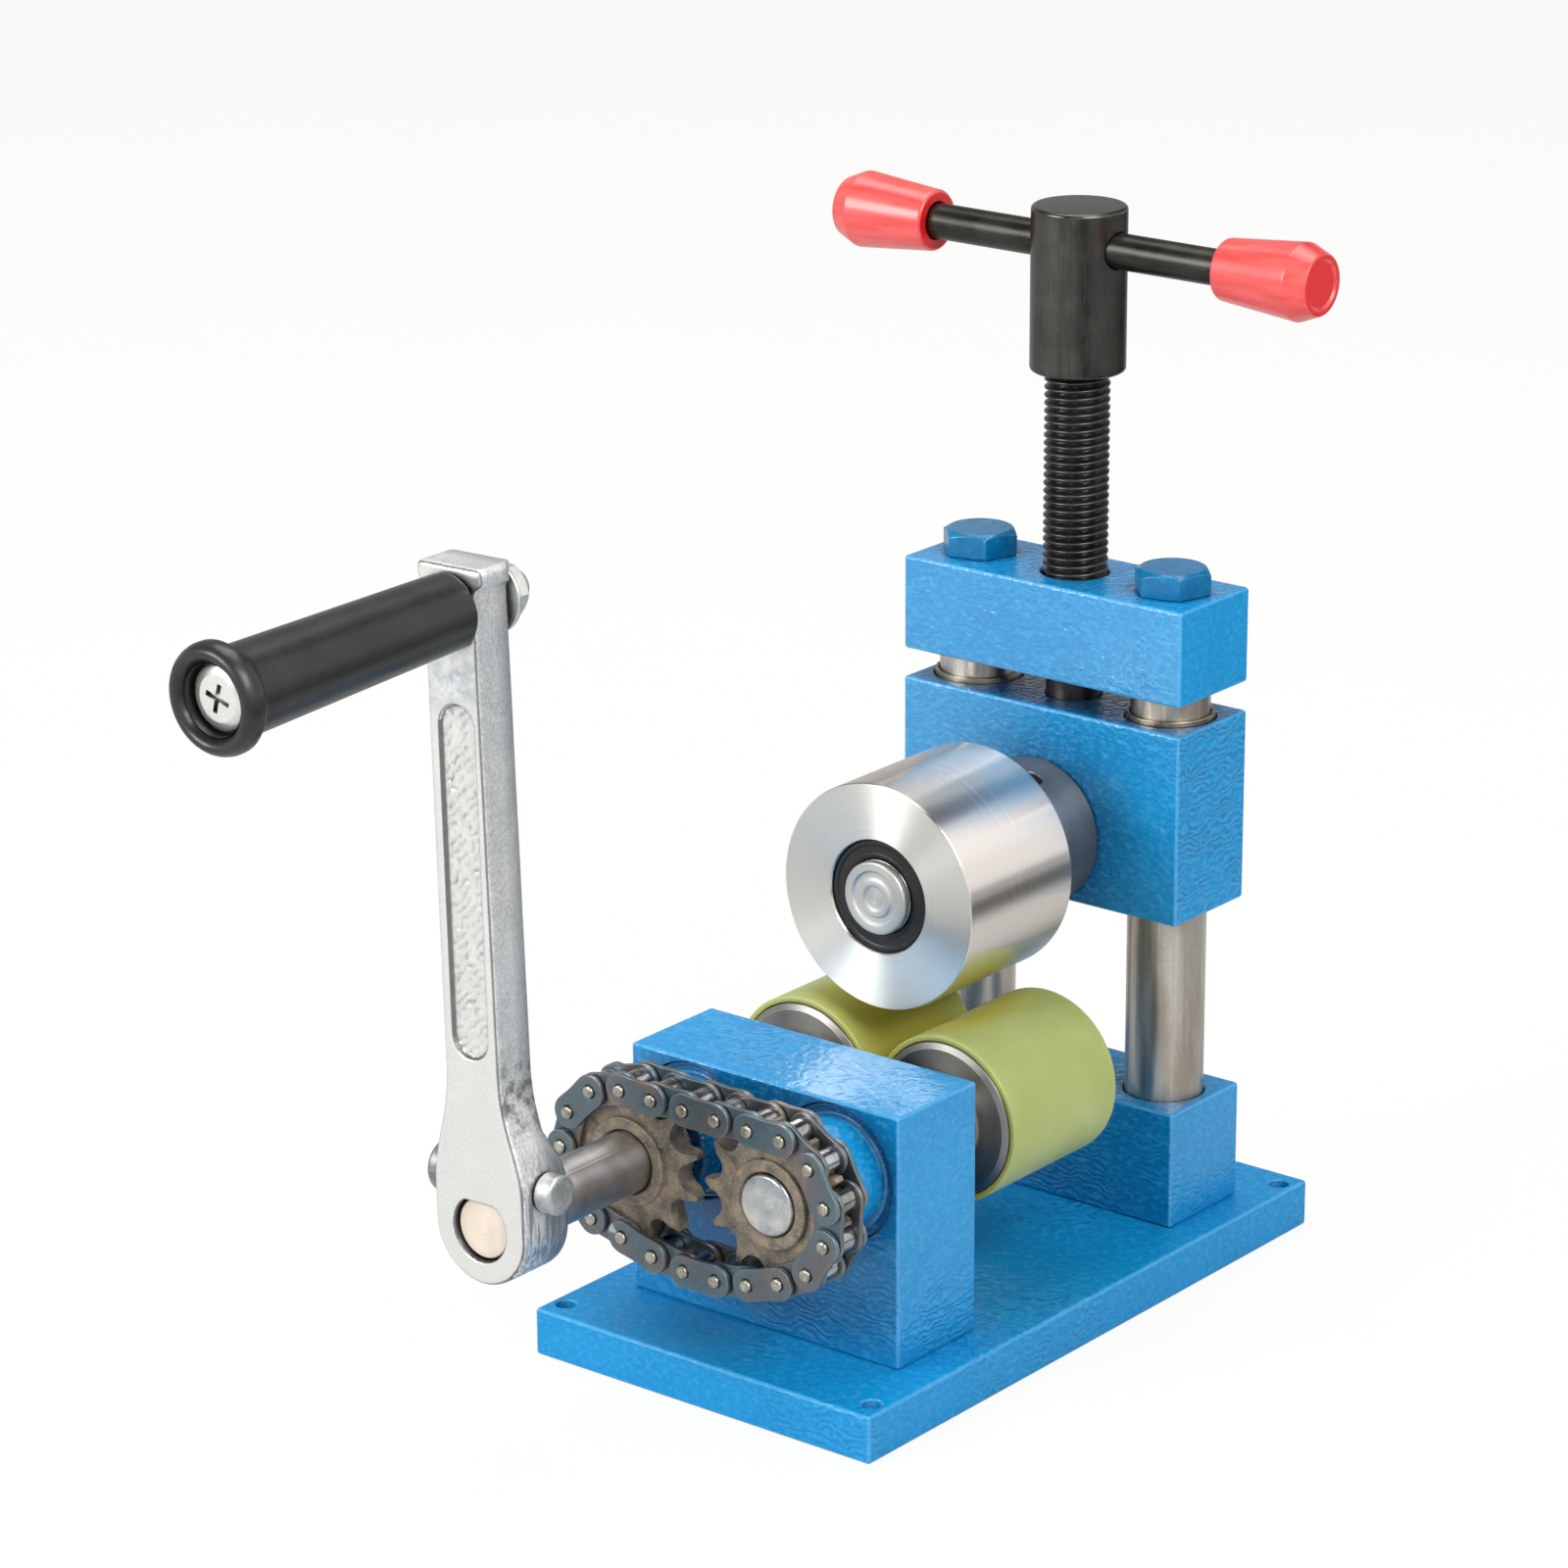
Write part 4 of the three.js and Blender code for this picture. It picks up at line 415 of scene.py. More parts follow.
class Graph(Nodes):
    """A material's nodes about one Principled shader."""

    def __init__(self, name, **sockets):
        self.material = bpy.data.materials.new(name)
        self.material.use_nodes = True
        super().__init__(self.material.node_tree)
        self.shader = self.tree.nodes["Principled BSDF"]
        for socket, value in sockets.items():
            self.shader.inputs[socket.replace("_", " ")].default_value = value
        self.object = self.node("ShaderNodeTexCoord").outputs["Object"]

    def link(self, **outputs):
        for socket, output in outputs.items():
            self.tree.links.new(output, self.shader.inputs[socket.replace("_", " ")])

    def noise(self, size, detail=4, stretch=(1, 1, 1), coords=None, rough=0.55):
        """Noise whose features are about size millimetres, times the stretch along each axis."""
        scale = [1 / (size * MM * s) for s in stretch]
        placed = self.node("ShaderNodeMapping", Vector=coords or self.object, Scale=scale).outputs[0]
        return self.node(
            "ShaderNodeTexNoise", Vector=placed, Scale=1.0, Detail=detail, Roughness=rough,
        ).outputs["Fac"]

    def mix(self, share, a, b):
        made = self.node("ShaderNodeMix", {"data_type": "RGBA"})
        for index, value in ((0, share), (6, a), (7, b)):
            if isinstance(value, bpy.types.NodeSocket):
                self.tree.links.new(value, made.inputs[index])
            else:
                made.inputs[index].default_value = (*value, 1) if isinstance(value, tuple) else value
        return made.outputs[2]

    def bump(self, *layers):
        """Stacks (height, depth in mm, strength) layers into the shader's and its coat's normal."""
        normal = None
        for height, depth, strength in layers:
            made = self.node("ShaderNodeBump", Height=height, Distance=depth * MM, Strength=strength)
            if normal:
                self.tree.links.new(normal, made.inputs["Normal"])
            normal = made.outputs["Normal"]
        self.link(Normal=normal, Coat_Normal=normal)

    def closed_in(self, reach):
        """1 in the open, down to 0 where other surfaces stand close round, within reach in mm."""
        return self.node("ShaderNodeAmbientOcclusion", {"samples": 4}, Distance=reach * MM).outputs["AO"]

    def turned(self, axis, at):
        """Coordinates (along, radius, 0) about an axis, for the marks that a lathe leaves. The
        highlights spread along the marks."""
        tangent = self.node("ShaderNodeTangent", {"direction_type": "RADIAL", "axis": axis})
        self.link(Tangent=tangent.outputs[0])
        vector = "ShaderNodeVectorMath"
        moved = self.node(vector, {"operation": "SUBTRACT"}, i0=self.object, i1=Vector(at) * MM).outputs[0]
        flat = {"Y": (1, 0, 1), "Z": (1, 1, 0)}[axis]
        across = self.node(vector, {"operation": "MULTIPLY"}, i0=moved, i1=flat).outputs[0]
        radius = self.node(vector, {"operation": "LENGTH"}, i0=across).outputs["Value"]
        along = self.node("ShaderNodeSeparateXYZ", Vector=moved).outputs[axis]
        return self.node("ShaderNodeCombineXYZ", X=along, Y=radius).outputs[0]


def srgb(*screen):
    """A linear colour from 0-255 screen values."""
    levels = [value / 255 for value in screen]
    return tuple(v / 12.92 if v <= 0.04045 else ((v + 0.055) / 1.055) ** 2.4 for v in levels)


RIPPLE_SPACING = 0.0017  # in metres


def blue_paint():
    """Gloss enamel: orange peel everywhere and the crawling ripples of a thick coat, which are
    strongest on the slide block's right face and in patches lower down. The ripples' crests carry a
    painted highlight and their hollows painted shade, and the peel's grain carries painted flecks of
    light and shade. Corners where blocks meet and other closed-in places are darkened with painted
    shade, edges are paler, partly paint worn thin and partly a painted highlight, and the upper
    blocks' fronts are hazier."""
    g = Graph("blue_paint")
    place, normal = g.axes("Object"), g.axes("Normal")
    height = place["Z"]
    patches = g.noise(26, detail=3)
    upper = g.step(height, 0.08, 0.1)
    crosshead = g.step(height, 0.142, 0.146)
    right = g.times(upper, g.step(normal["X"], 0.5, 0.9))
    front = g.times(upper, g.step(g.times(normal["Y"], -1.0), 0.5, 0.9))
    haze = g.times(front, g.most(g.span(place["X"], -0.03, 0.005, 1.0, 0.1), crosshead))
    thin = g.times(right, g.step(crosshead, 0, 1, 0.5, 0.75))
    g.link(
        Roughness=g.step(patches, 0.3, 0.7, 0.38, 0.46),
        Coat_Roughness=g.step(upper, 0, 1, 0.05, 0.12),
        Coat_Weight=g.maths("SUBTRACT", g.step(height, 0.0125, 0.015, 0.4, 0.85), thin),
        Specular_IOR_Level=g.step(haze, 0, 1, 0.12, 0.65),
    )
    rise = g.times(height, 2 * pi / RIPPLE_SPACING)
    wander = g.plus(g.times(g.noise(7, detail=1), 26.0), g.times(g.noise(2.5, detail=1), 8.0))
    lower = g.times(g.step(g.noise(38, detail=1), 0.5, 0.66, 0.08, 0.7), g.step(upper, 0, 1, 1.0, 0.1))
    where = g.most(lower, g.times(right, g.step(crosshead, 0, 1, 1.0, 0.12)))
    where = g.times(where, g.step(g.noise(5, detail=1), 0.3, 0.6, 0.35))
    ripples = g.times(g.maths("SINE", g.plus(rise, wander)), where)
    grain = g.noise(1.5, detail=2, stretch=(1.2, 1.2, 0.8))
    coat = g.step(patches, 0.3, 0.7, (0.002, 0.25, 0.56), (0.004, 0.28, 0.61))
    # Painted shade: darker where other surfaces stand close round, above the base plate's top.
    painted_shade = g.times(g.step(g.closed_in(36), 0.3, 0.75, 1.0, 0.0), g.step(height, 0.012, 0.018))
    coat = g.mix(painted_shade, coat, (0.001, 0.055, 0.17))
    # Painted highlight on the ripples' crests and painted shade in their hollows.
    coat = g.mix(g.step(ripples, 0.15, 0.9, 0.0, 0.4), coat, (0.05, 0.4, 0.72))
    ripple_hollow_shade = g.step(g.times(ripples, -1.0), 0.15, 0.9, 0.0, 0.55)
    coat = g.mix(ripple_hollow_shade, coat, (0.001, 0.12, 0.34))
    # Painted flecks of highlight and shade that follow the peel's grain.
    coat = g.mix(g.step(grain, 0.52, 0.66, 0.0, 0.3), coat, (0.07, 0.4, 0.72))
    coat = g.mix(g.step(grain, 0.34, 0.48, 0.25, 0.0), coat, (0.001, 0.16, 0.42))
    # Paler rounded edges: partly paint worn thin, partly a painted highlight.
    x, y, z = (g.maths("ABSOLUTE", normal[axis]) for axis in "XYZ")
    flat = g.most(g.most(y, z), x)
    behind_covers = g.maths("GREATER_THAN", place["Y"], (box("front_block")[0].y - 0.2) * MM)
    of_block = g.most(behind_covers, g.maths("LESS_THAN", height, 0.0125))
    edge = g.times(of_block, g.ramp(flat, (0.72, 0.24), (0.94, 0.2), (0.985, 0.0)))
    g.link(Base_Color=g.mix(edge, coat, (0.22, 0.55, 0.86)))
    peel = g.times(grain, g.step(upper, 0, 1, 0.35))
    g.bump((ripples, 0.12, 1.0), (peel, 0.4, 1.0), (g.noise(3.4, detail=2), 0.34, 0.7))
    return g.material


def bolt_paint():
    """The same paint on a bolt's head, rubbed thin here and there by the wrench."""
    g = Graph("bolt_paint", Coat_Weight=0.7, Coat_Roughness=0.1, Specular_IOR_Level=0.1)
    wear = g.noise(3.4, detail=4)
    colour = g.ramp(wear, (0.3, (0.001, 0.13, 0.3)), (0.6, (0.002, 0.17, 0.37)), (0.78, (0.04, 0.25, 0.42)))
    g.link(Base_Color=colour, Roughness=g.step(wear, 0.4, 0.7, 0.3, 0.5))
    g.bump((wear, 0.3, 0.7), (g.noise(0.8, detail=2), 0.1, 0.7))
    return g.material


def metal(name, dark, light, roughness, patch, marks_depth=0.02):
    """A metal whose colour and roughness drift over patches, with fine marks of a tool."""
    g = Graph(name, Metallic=1.0)
    fine = g.noise(0.5, detail=3)
    share = g.blend(g.noise(patch, detail=5), 0.65, fine)
    g.link(
        Base_Color=g.step(share, 0.38, 0.62, srgb(*dark), srgb(*light)),
        Roughness=g.step(share, 0.35, 0.65, roughness - 0.08, roughness + 0.08),
    )
    g.bump((fine, marks_depth, 0.5))
    return g.material


def turned_metal(name, dark, light, roughness, at, step=0.25, anisotropy=0.6):
    """A lathe-turned metal: fine rings about Y that spread its highlights."""
    g = Graph(name, Metallic=1.0, Anisotropic=anisotropy, Anisotropic_Rotation=0.25)
    rings = g.turned("Y", at)
    fine = g.noise(step, detail=3, coords=rings)
    broad = g.noise(6, detail=3, coords=rings)
    share = g.plus(g.times(g.plus(fine, broad), 0.35), g.times(g.noise(9, detail=5), 0.3))
    g.link(
        Base_Color=g.step(share, 0.36, 0.62, srgb(*dark), srgb(*light)),
        Roughness=g.step(share, 0.35, 0.65, roughness - 0.05, roughness + 0.06),
    )
    g.bump((fine, 0.012, 0.4))
    return g.material


def roller_steel():
    """Polished steel: a bright barrel with hair-fine rings, and duller turned faces."""
    g = Graph("polished_roller_steel", Metallic=1.0, Anisotropic=0.9, Anisotropic_Rotation=0.25)
    rings = g.noise(0.5, detail=3, coords=g.turned("Y", AXLE))
    face = g.step(g.maths("ABSOLUTE", g.axes("Normal")["Y"]), 0.85, 0.98)
    barrel = g.step(rings, 0.35, 0.65, srgb(236, 228, 220), srgb(244, 236, 228))
    ends = g.step(rings, 0.3, 0.7, srgb(234, 232, 226), srgb(240, 238, 232))
    g.link(
        Base_Color=g.mix(face, barrel, ends),
        Roughness=g.mix(face, g.step(rings, 0.3, 0.7, 0.22, 0.28), (0.4, 0.4, 0.4)),
    )
    g.bump((rings, 0.0008, 0.4))
    return g.material


def rusty_steel():
    """Bare sprocket steel: brown patches of thin rust over grey."""
    g = Graph("sprocket_steel")
    patches = g.noise(5, detail=8, rough=0.65)
    grain = g.noise(0.6, detail=6, rough=0.7)
    share = g.blend(patches, 0.7, grain)
    rust = g.ramp(share, (0.38, srgb(78, 71, 64)), (0.5, srgb(132, 120, 104)), (0.6, srgb(180, 160, 134)))
    g.link(
        Base_Color=g.mix(g.step(grain, 0.35, 0.65, 0.0, 0.35), rust, srgb(150, 148, 142)),
        Metallic=g.step(share, 0.4, 0.6, 0.35, 0.75),
        Roughness=g.step(share, 0.35, 0.65, 0.45, 0.72),
    )
    g.bump((patches, 0.1, 0.3), (grain, 0.06, 0.6))
    return g.material


def chain_plate_steel():
    """Tempered blue-grey plate with drifts of violet and brown, and paler rims that are partly rubbed and
    partly a painted highlight.
    """
    g = Graph("chain_plate_steel", Metallic=0.85)
    grain = g.noise(0.9, detail=5)
    colour = g.ramp(
        g.noise(11, detail=3), (0.32, srgb(98, 120, 130)), (0.48, srgb(104, 116, 122)),
        (0.6, srgb(120, 114, 116)), (0.72, srgb(142, 130, 114)),
    )
    plain = g.mix(g.step(grain, 0.4, 0.75, 0.0, 0.4), colour, srgb(78, 88, 98))
    # Paler rims: partly rubbed metal, partly a painted highlight.
    rim = g.step(g.node("ShaderNodeNewGeometry").outputs["Pointiness"], 0.53, 0.62, 0.0, 0.8)
    g.link(Base_Color=g.mix(rim, plain, srgb(196, 206, 208)), Roughness=g.step(grain, 0.3, 0.7, 0.3, 0.46))
    g.bump((grain, 0.03, 0.5))
    return g.material


def polyurethane():
    """Cast olive polyurethane, scuffed round the roller, with painted shade that turns it yellower in the
    narrow gaps.
    """
    g = Graph("polyurethane_coat", Roughness=0.42, Subsurface_Weight=0.35, Subsurface_Scale=0.004, IOR=1.5)
    g.shader.inputs["Subsurface Radius"].default_value = (1.0, 0.9, 0.4)
    cloud = g.noise(22, detail=3)
    scuffs = g.noise(1.4, detail=5, stretch=(1, 6, 1))
    colour = g.step(cloud, 0.3, 0.7, srgb(158, 170, 94), srgb(174, 182, 118))
    worn = g.mix(g.step(scuffs, 0.6, 0.8, 0.0, 0.3), colour, srgb(206, 206, 160))
    # Painted shade: yellower where other surfaces stand close round.
    deep = g.step(g.closed_in(18), 0.3, 0.68, 0.85, 0.0)
    g.link(Base_Color=g.mix(deep, worn, srgb(190, 178, 34)), Roughness=g.step(scuffs, 0.35, 0.7, 0.36, 0.5))
    g.bump((g.noise(0.9, detail=3), 0.04, 0.3), (cloud, 0.4, 0.2))
    return g.material


def plastic(name, dark, light, roughness, grain, depth, **more):
    g = Graph(name, Roughness=roughness, **more)
    patches = g.noise(10, detail=4)
    fine = g.noise(grain, detail=3)
    g.link(
        Base_Color=g.step(patches, 0.35, 0.65, srgb(*dark), srgb(*light)),
        Roughness=g.step(fine, 0.3, 0.7, roughness - 0.05, roughness + 0.08),
    )
    g.bump((fine, depth, 0.4), (patches, 0.2, 0.15))
    return g.material


def knob_plastic():
    """Glossy red plastic, a little translucent, with a painted sheen in pale streaks that makes the sides
    paler than the end discs.
    """
    g = Graph(
        "knob_plastic", Coat_Weight=0.8, Coat_Roughness=0.24, Subsurface_Weight=0.15, Subsurface_Scale=0.003,
    )
    end = g.step(g.maths("ABSOLUTE", g.axes("Normal")["X"]), 0.9, 0.97)
    flow_and_sheen_streaks = g.noise(2.2, detail=3, stretch=(9, 1, 1))
    # Painted sheen: the sides are paler, in streaks, than the deep red end discs.
    side = g.step(flow_and_sheen_streaks, 0.35, 0.65, srgb(216, 58, 56), srgb(230, 84, 80))
    g.link(Base_Color=g.mix(end, side, srgb(216, 4, 6)), Roughness=g.step(flow_and_sheen_streaks, 0.35, 0.65, 0.36, 0.48))
    g.bump((flow_and_sheen_streaks, 0.03, 0.4), (g.noise(1.2, detail=2), 0.01, 0.3))
    return g.material


def galvanised():
    """Bright zinc on a forged blank: a smooth pale front that is darker along its rounded edges, rough
    mottled sides that painted shade darkens towards the back and that are scratched at the hub,
    and painted shade on the slot's walls and in the crevices. The arm's front has a bluish patch,
    rubbed by the grip's end."""
    g = Graph("bright_zinc", Metallic=0.85)
    place = g.axes("Object")
    height = place["Z"]
    forward = g.times(g.axes("Normal")["Y"], -1.0)
    rough_sides = g.step(forward, 0.7, 0.93, 1.0, 0.0)
    dents = g.noise(7, detail=3)
    grain = g.noise(0.5, detail=4, rough=0.7, stretch=(1, 1, 1.6))
    share = g.blend(dents, 0.2, grain)
    front = g.step(share, 0.36, 0.6, srgb(226, 227, 222), srgb(244, 244, 239))
    below_grip = g.ramp(height, (0.177, 0.0), (0.184, 0.75), (0.19, 0.75), (0.196, 0.0))
    rubbed = g.times(below_grip, g.step(g.noise(2.2, detail=5, rough=0.7), 0.4, 0.66))
    front = g.mix(rubbed, front, srgb(164, 176, 192))
    sides = g.step(share, 0.34, 0.6, srgb(204, 206, 205), srgb(255, 255, 252))
    # Painted shade: the sides grow darker and bluer towards the back.
    back = g.span(place["Y"], (ARM_MIDDLE + 0.5) * MM, (ARM_MIDDLE + 6) * MM, 0.0, 0.75)
    sides = g.mix(back, sides, srgb(128, 134, 142))
    shoulder = g.ramp(height, (0.078, 0.0), (0.084, 1.0), (0.092, 1.0), (0.102, 0.0))
    patches = g.step(g.noise(3, detail=4, rough=0.7), 0.47, 0.6, 0.0, 0.75)
    sides = g.mix(g.times(shoulder, patches), sides, srgb(82, 84, 90))
    scratches = g.step(g.noise(0.8, detail=3, stretch=(1, 1, 14)), 0.44, 0.54, 0.7, 0.0)
    hub = g.step(height, 0.068, 0.078, 1.0, 0.0)
    sides = g.mix(g.times(hub, scratches), sides, srgb(118, 124, 134))
    coat = g.mix(rough_sides, front, sides)
    # Darker along the rounded edges between the front and the sides.
    edges = g.ramp(forward, (0.5, 0.0), (0.62, 0.75), (0.8, 0.75), (0.92, 0.0))
    coat = g.mix(edges, coat, srgb(96, 98, 102))
    # Painted shade on the slot's walls.
    lean = g.times(g.maths("SUBTRACT", height, SHAFT_Z * MM), -math.tan(CRANK_TILT))
    across = g.maths("ABSOLUTE", g.plus(g.plus(place["X"], SHAFT_X * MM), lean))
    recess = g.ramp(
        height, (0.0455, 0.0), (0.0465, 0.0088), (0.074, 0.0088), (0.076, 0.0062), (0.179, 0.0062),
        (0.18, 0.0),
    )
    shaded_slot_walls = g.times(g.maths("LESS_THAN", across, recess), g.step(forward, 0.5, 0.8, 0.85, 0.0))
    shaded_slot_walls = g.times(shaded_slot_walls, g.maths("LESS_THAN", place["Y"], ARM_MIDDLE * MM))
    coat = g.mix(shaded_slot_walls, coat, srgb(92, 92, 94))
    below = g.maths("GREATER_THAN", place["Y"], (CRANK_FRONT + 0.55) * MM)
    floor = g.times(below, g.step(forward, 0.6, 0.85))
    bend = g.step(g.node("ShaderNodeNewGeometry").outputs["Pointiness"], 0.45, 0.495, 0.6, 0.0)
    coat = g.mix(g.times(floor, bend), coat, srgb(132, 133, 134))
    # Painted shade in the crevices and round the shaft in its bore.
    painted_shade = g.step(g.closed_in(4), 0.3, 0.62, 1.0, 0.0)
    g.link(
        Base_Color=g.mix(painted_shade, coat, srgb(66, 60, 56)),
        Roughness=g.mix(rough_sides, (0.3, 0.3, 0.3), g.step(share, 0.36, 0.64, 0.28, 0.42)),
    )
    g.bump((dents, 0.4, 0.16), (g.mix(rough_sides, (0.5, 0.5, 0.5), grain), 0.16, 1.0))
    return g.material


def drive_shaft_steel():
    """The crank's shaft: turned grey steel whose sawn end is left dull and pale."""
    g = Graph("drive_shaft_steel", Anisotropic=0.5, Anisotropic_Rotation=0.25)
    rings = g.noise(0.3, detail=3, coords=g.turned("Y", SHAFTS["left"]))
    share = g.blend(rings, 0.5, g.noise(8, detail=4))
    end = g.step(g.times(g.axes("Normal")["Y"], -1.0), 0.9, 0.98)
    side = g.step(share, 0.36, 0.62, srgb(158, 153, 148), srgb(190, 187, 184))
    sawn = g.step(share, 0.4, 0.6, srgb(214, 200, 184), srgb(232, 219, 204))
    g.link(
        Base_Color=g.mix(end, side, sawn), Metallic=g.step(end, 0, 1, 1.0, 0.25),
        Roughness=g.plus(g.step(share, 0.35, 0.65, 0.35, 0.46), g.times(end, 0.3)),
    )
    g.bump((rings, 0.02, 0.4))
    return g.material


def column_steel(name, at):
    """Ground bar: fine rings from the grinder, long faint streaks and a brown tint in patches."""
    g = Graph(name, Metallic=1.0, Anisotropic=0.6, Anisotropic_Rotation=0.25)
    rings = g.noise(0.35, detail=2, coords=g.turned("Z", at))
    grain = g.noise(0.5, detail=5, rough=0.7)
    streaks = g.noise(0.9, detail=4, stretch=(1, 1, 40))
    tint = g.step(g.noise(7, detail=5, stretch=(1, 1, 5)), 0.42, 0.62, 0.0, 0.6)
    bright = g.step(g.blend(grain, 0.5, streaks), 0.4, 0.62, srgb(190, 184, 174), srgb(222, 216, 205))
    g.link(
        Base_Color=g.mix(tint, bright, srgb(158, 142, 124)), Roughness=g.step(grain, 0.35, 0.65, 0.32, 0.4),
    )
    g.bump((rings, 0.002, 0.4), (streaks, 0.004, 0.3), (grain, 0.01, 0.4))
    return g.material


def black_steel(name, roughness, along=(1, 1, 24), dark=72):
    """Oxide-blacked steel: an oily shine with fine streaks along the piece."""
    g = Graph(name, Metallic=0.95)
    fine = g.noise(0.5, detail=4)
    streaks = g.noise(0.45, detail=3, stretch=along)
    share = g.blend(g.noise(8, detail=5), 0.6, streaks)
    deep, pale = srgb(dark, dark - 1, dark - 4), srgb(dark + 18, dark + 17, dark + 13)
    g.link(
        Base_Color=g.step(share, 0.38, 0.6, deep, pale),
        Roughness=g.step(share, 0.36, 0.64, roughness - 0.05, roughness + 0.06),
    )
    g.bump((fine, 0.02, 0.5), (streaks, 0.015, 0.4))
    return g.material


# Each finish's material and its slot in the record
FINISHES = {
    "paint": (blue_paint(), "blue_paint"),
    "bolt paint": (bolt_paint(), "blue_paint"),
    "roller": (roller_steel(), "bright_steel"),
    "axle": (turned_metal(
        "axle_steel", (196, 195, 190), (222, 220, 214), 0.52, AXLE, step=0.35, anisotropy=0.3,
    ), "ground_steel"),
    "collar": (turned_metal(
        "collar_steel", (112, 118, 124), (140, 144, 148), 0.5, AXLE, step=0.4, anisotropy=0.5,
    ), "grey_steel"),
    "drive shaft": (drive_shaft_steel(), "grey_steel"),
    "tyre": (polyurethane(), "polyurethane"),
    "sprocket": (rusty_steel(), "browned_steel"),
    "chain plate": (chain_plate_steel(), "chain_steel"),
    "zinc": (galvanised(), "bright_zinc"),
    "black steel": (black_steel("black_oxide_steel", 0.26), "black_steel"),
    "bar steel": (black_steel("bar_steel", 0.32, (24, 1, 1), 50), "black_steel"),
    "screw steel": (black_steel("screw_steel", 0.32), "black_steel"),
    "seal": (plastic("seal_rubber", (15, 15, 14), (26, 26, 25), 0.42, 0.5, 0.02), "seal_rubber"),
    "grip": (plastic(
        "grip_plastic", (22, 22, 22), (34, 33, 32), 0.38, 0.7, 0.03, Coat_Weight=0.15,
    ), "black_plastic"),
    "knob": (knob_plastic(), "red_plastic"),
    "driven shaft": (metal("driven_shaft_steel", (160, 176, 184), (228, 224, 214), 0.34, 5), "ground_steel"),
    "chain pin": (metal("chain_pin_steel", (150, 144, 128), (206, 202, 188), 0.36, 2), "chain_steel"),
    "chain roller": (metal("chain_roller_steel", (132, 130, 128), (206, 208, 210), 0.18, 6), "chain_steel"),
    "plain zinc": (metal("plain_zinc", (216, 217, 214), (242, 242, 238), 0.4, 5, 0.06), "bright_zinc"),
    "dark zinc": (metal("dark_zinc", (126, 129, 132), (168, 170, 170), 0.42, 4, 0.08), "bright_zinc"),
    "dull zinc": (metal("dull_zinc", (168, 171, 172), (212, 214, 211), 0.42, 4, 0.08), "bright_zinc"),
    "bronze": (metal("bush_bronze", (158, 146, 126), (196, 188, 170), 0.34, 6), "bronze"),
    "inner steel": (metal("bearing_steel", (160, 160, 158), (206, 206, 202), 0.28, 8), "ground_steel"),
}
for side, at in SHAFTS.items():
    core = turned_metal(f"core_steel_{side}", (140, 140, 136), (176, 174, 168), 0.44, at)
    FINISHES[f"core {side}"] = (core, "ground_steel")
    FINISHES[f"column {side}"] = (column_steel(f"column_steel_{side}", COLUMNS[side]), "ground_steel")


def stand_in(obj, finish, *nodes):
    """Gives a finished piece its material and its body, and hides the CAD nodes that it stands for."""
    material, slot = FINISHES[finish]
    obj.data.materials.clear()
    obj.data.materials.append(material)
    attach(obj, body_of(frame["nodes"][nodes[0]])[0])
    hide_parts(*nodes)
    return obj


def turn_piece(node, finish, profile, *places, **more):
    """A turned piece that stands for the CAD node and is named after it."""
    return stand_in(turned(f"mill_{node}", profile, *places, **more), finish, node)


def add_camera():
    azimuth, elevation = CAMERA_AZIMUTH, CAMERA_ELEVATION
    level = cos(elevation)
    back = Vector((sin(azimuth) * level, -cos(azimuth) * level, sin(elevation)))
    right = Vector((cos(azimuth), sin(azimuth), 0))
    up = back.cross(right)
    across = right * cos(CAMERA_ROLL) + up * sin(CAMERA_ROLL)
    upward = up * cos(CAMERA_ROLL) - right * sin(CAMERA_ROLL)
    turn = Matrix((across, upward, back)).transposed().to_4x4()
    camera = bpy.data.objects.new("camera", bpy.data.cameras.new("camera"))
    camera.data.lens = CAMERA_LENS
    camera.matrix_world = Matrix.Translation(CAMERA_TARGET + back * CAMERA_DISTANCE) @ turn
    SCENE.collection.objects.link(camera)
    SCENE.camera = camera


def add_world():
    """White behind everything, soft light from all round, and for reflections a studio that is
    white on the right and grey on the left, with a dark gap overhead between them."""
    world = bpy.data.worlds.new("studio")
    world.use_nodes = True
    SCENE.world = world
    world.node_tree.nodes.clear()
    n = Nodes(world.node_tree)
    parts = n.axes("Generated")
    around = n.span(n.maths("ARCTAN2", parts["Z"], parts["X"]), -pi, pi)
    bands = (
        (-180, 0.9), (0, 0.95), (62, 0.95), (72, 0.08), (100, 0.07), (125, 0.2), (152, 0.3), (180, 0.72),
    )
    studio = n.ramp(around, *(((turn + 180) / 360, (level, level, level * 1.01)) for turn, level in bands))
    rays = n.node("ShaderNodeLightPath").outputs
    soft = n.node("ShaderNodeBackground", Color=(0.95, 0.98, 1.0, 1), Strength=0.27).outputs[0]
    mirrored = n.node("ShaderNodeBackground", Color=studio, Strength=1.0).outputs[0]
    white = n.node("ShaderNodeBackground", Color=(1, 1, 0.99, 1), Strength=1.0).outputs[0]
    lit = n.node("ShaderNodeMixShader", i0=rays["Is Glossy Ray"], i1=soft, i2=mirrored).outputs[0]
    seen = n.most(rays["Is Camera Ray"], rays["Is Transmission Ray"])
    shown = n.node("ShaderNodeMixShader", i0=seen, i1=lit, i2=white).outputs[0]
    n.node("ShaderNodeOutputWorld", Surface=shown)


def add_lamp(name, place, target, size, power, colour=(1, 1, 1)):
    lamp = bpy.data.lights.new(name, "AREA")
    lamp.shape = "RECTANGLE"
    lamp.size, lamp.size_y = size
    lamp.energy = power
    lamp.color = colour
    obj = bpy.data.objects.new(name, lamp)
    obj.location = place
    obj.rotation_euler = (Vector(target) - Vector(place)).to_track_quat("-Z", "Y").to_euler()
    SCENE.collection.objects.link(obj)


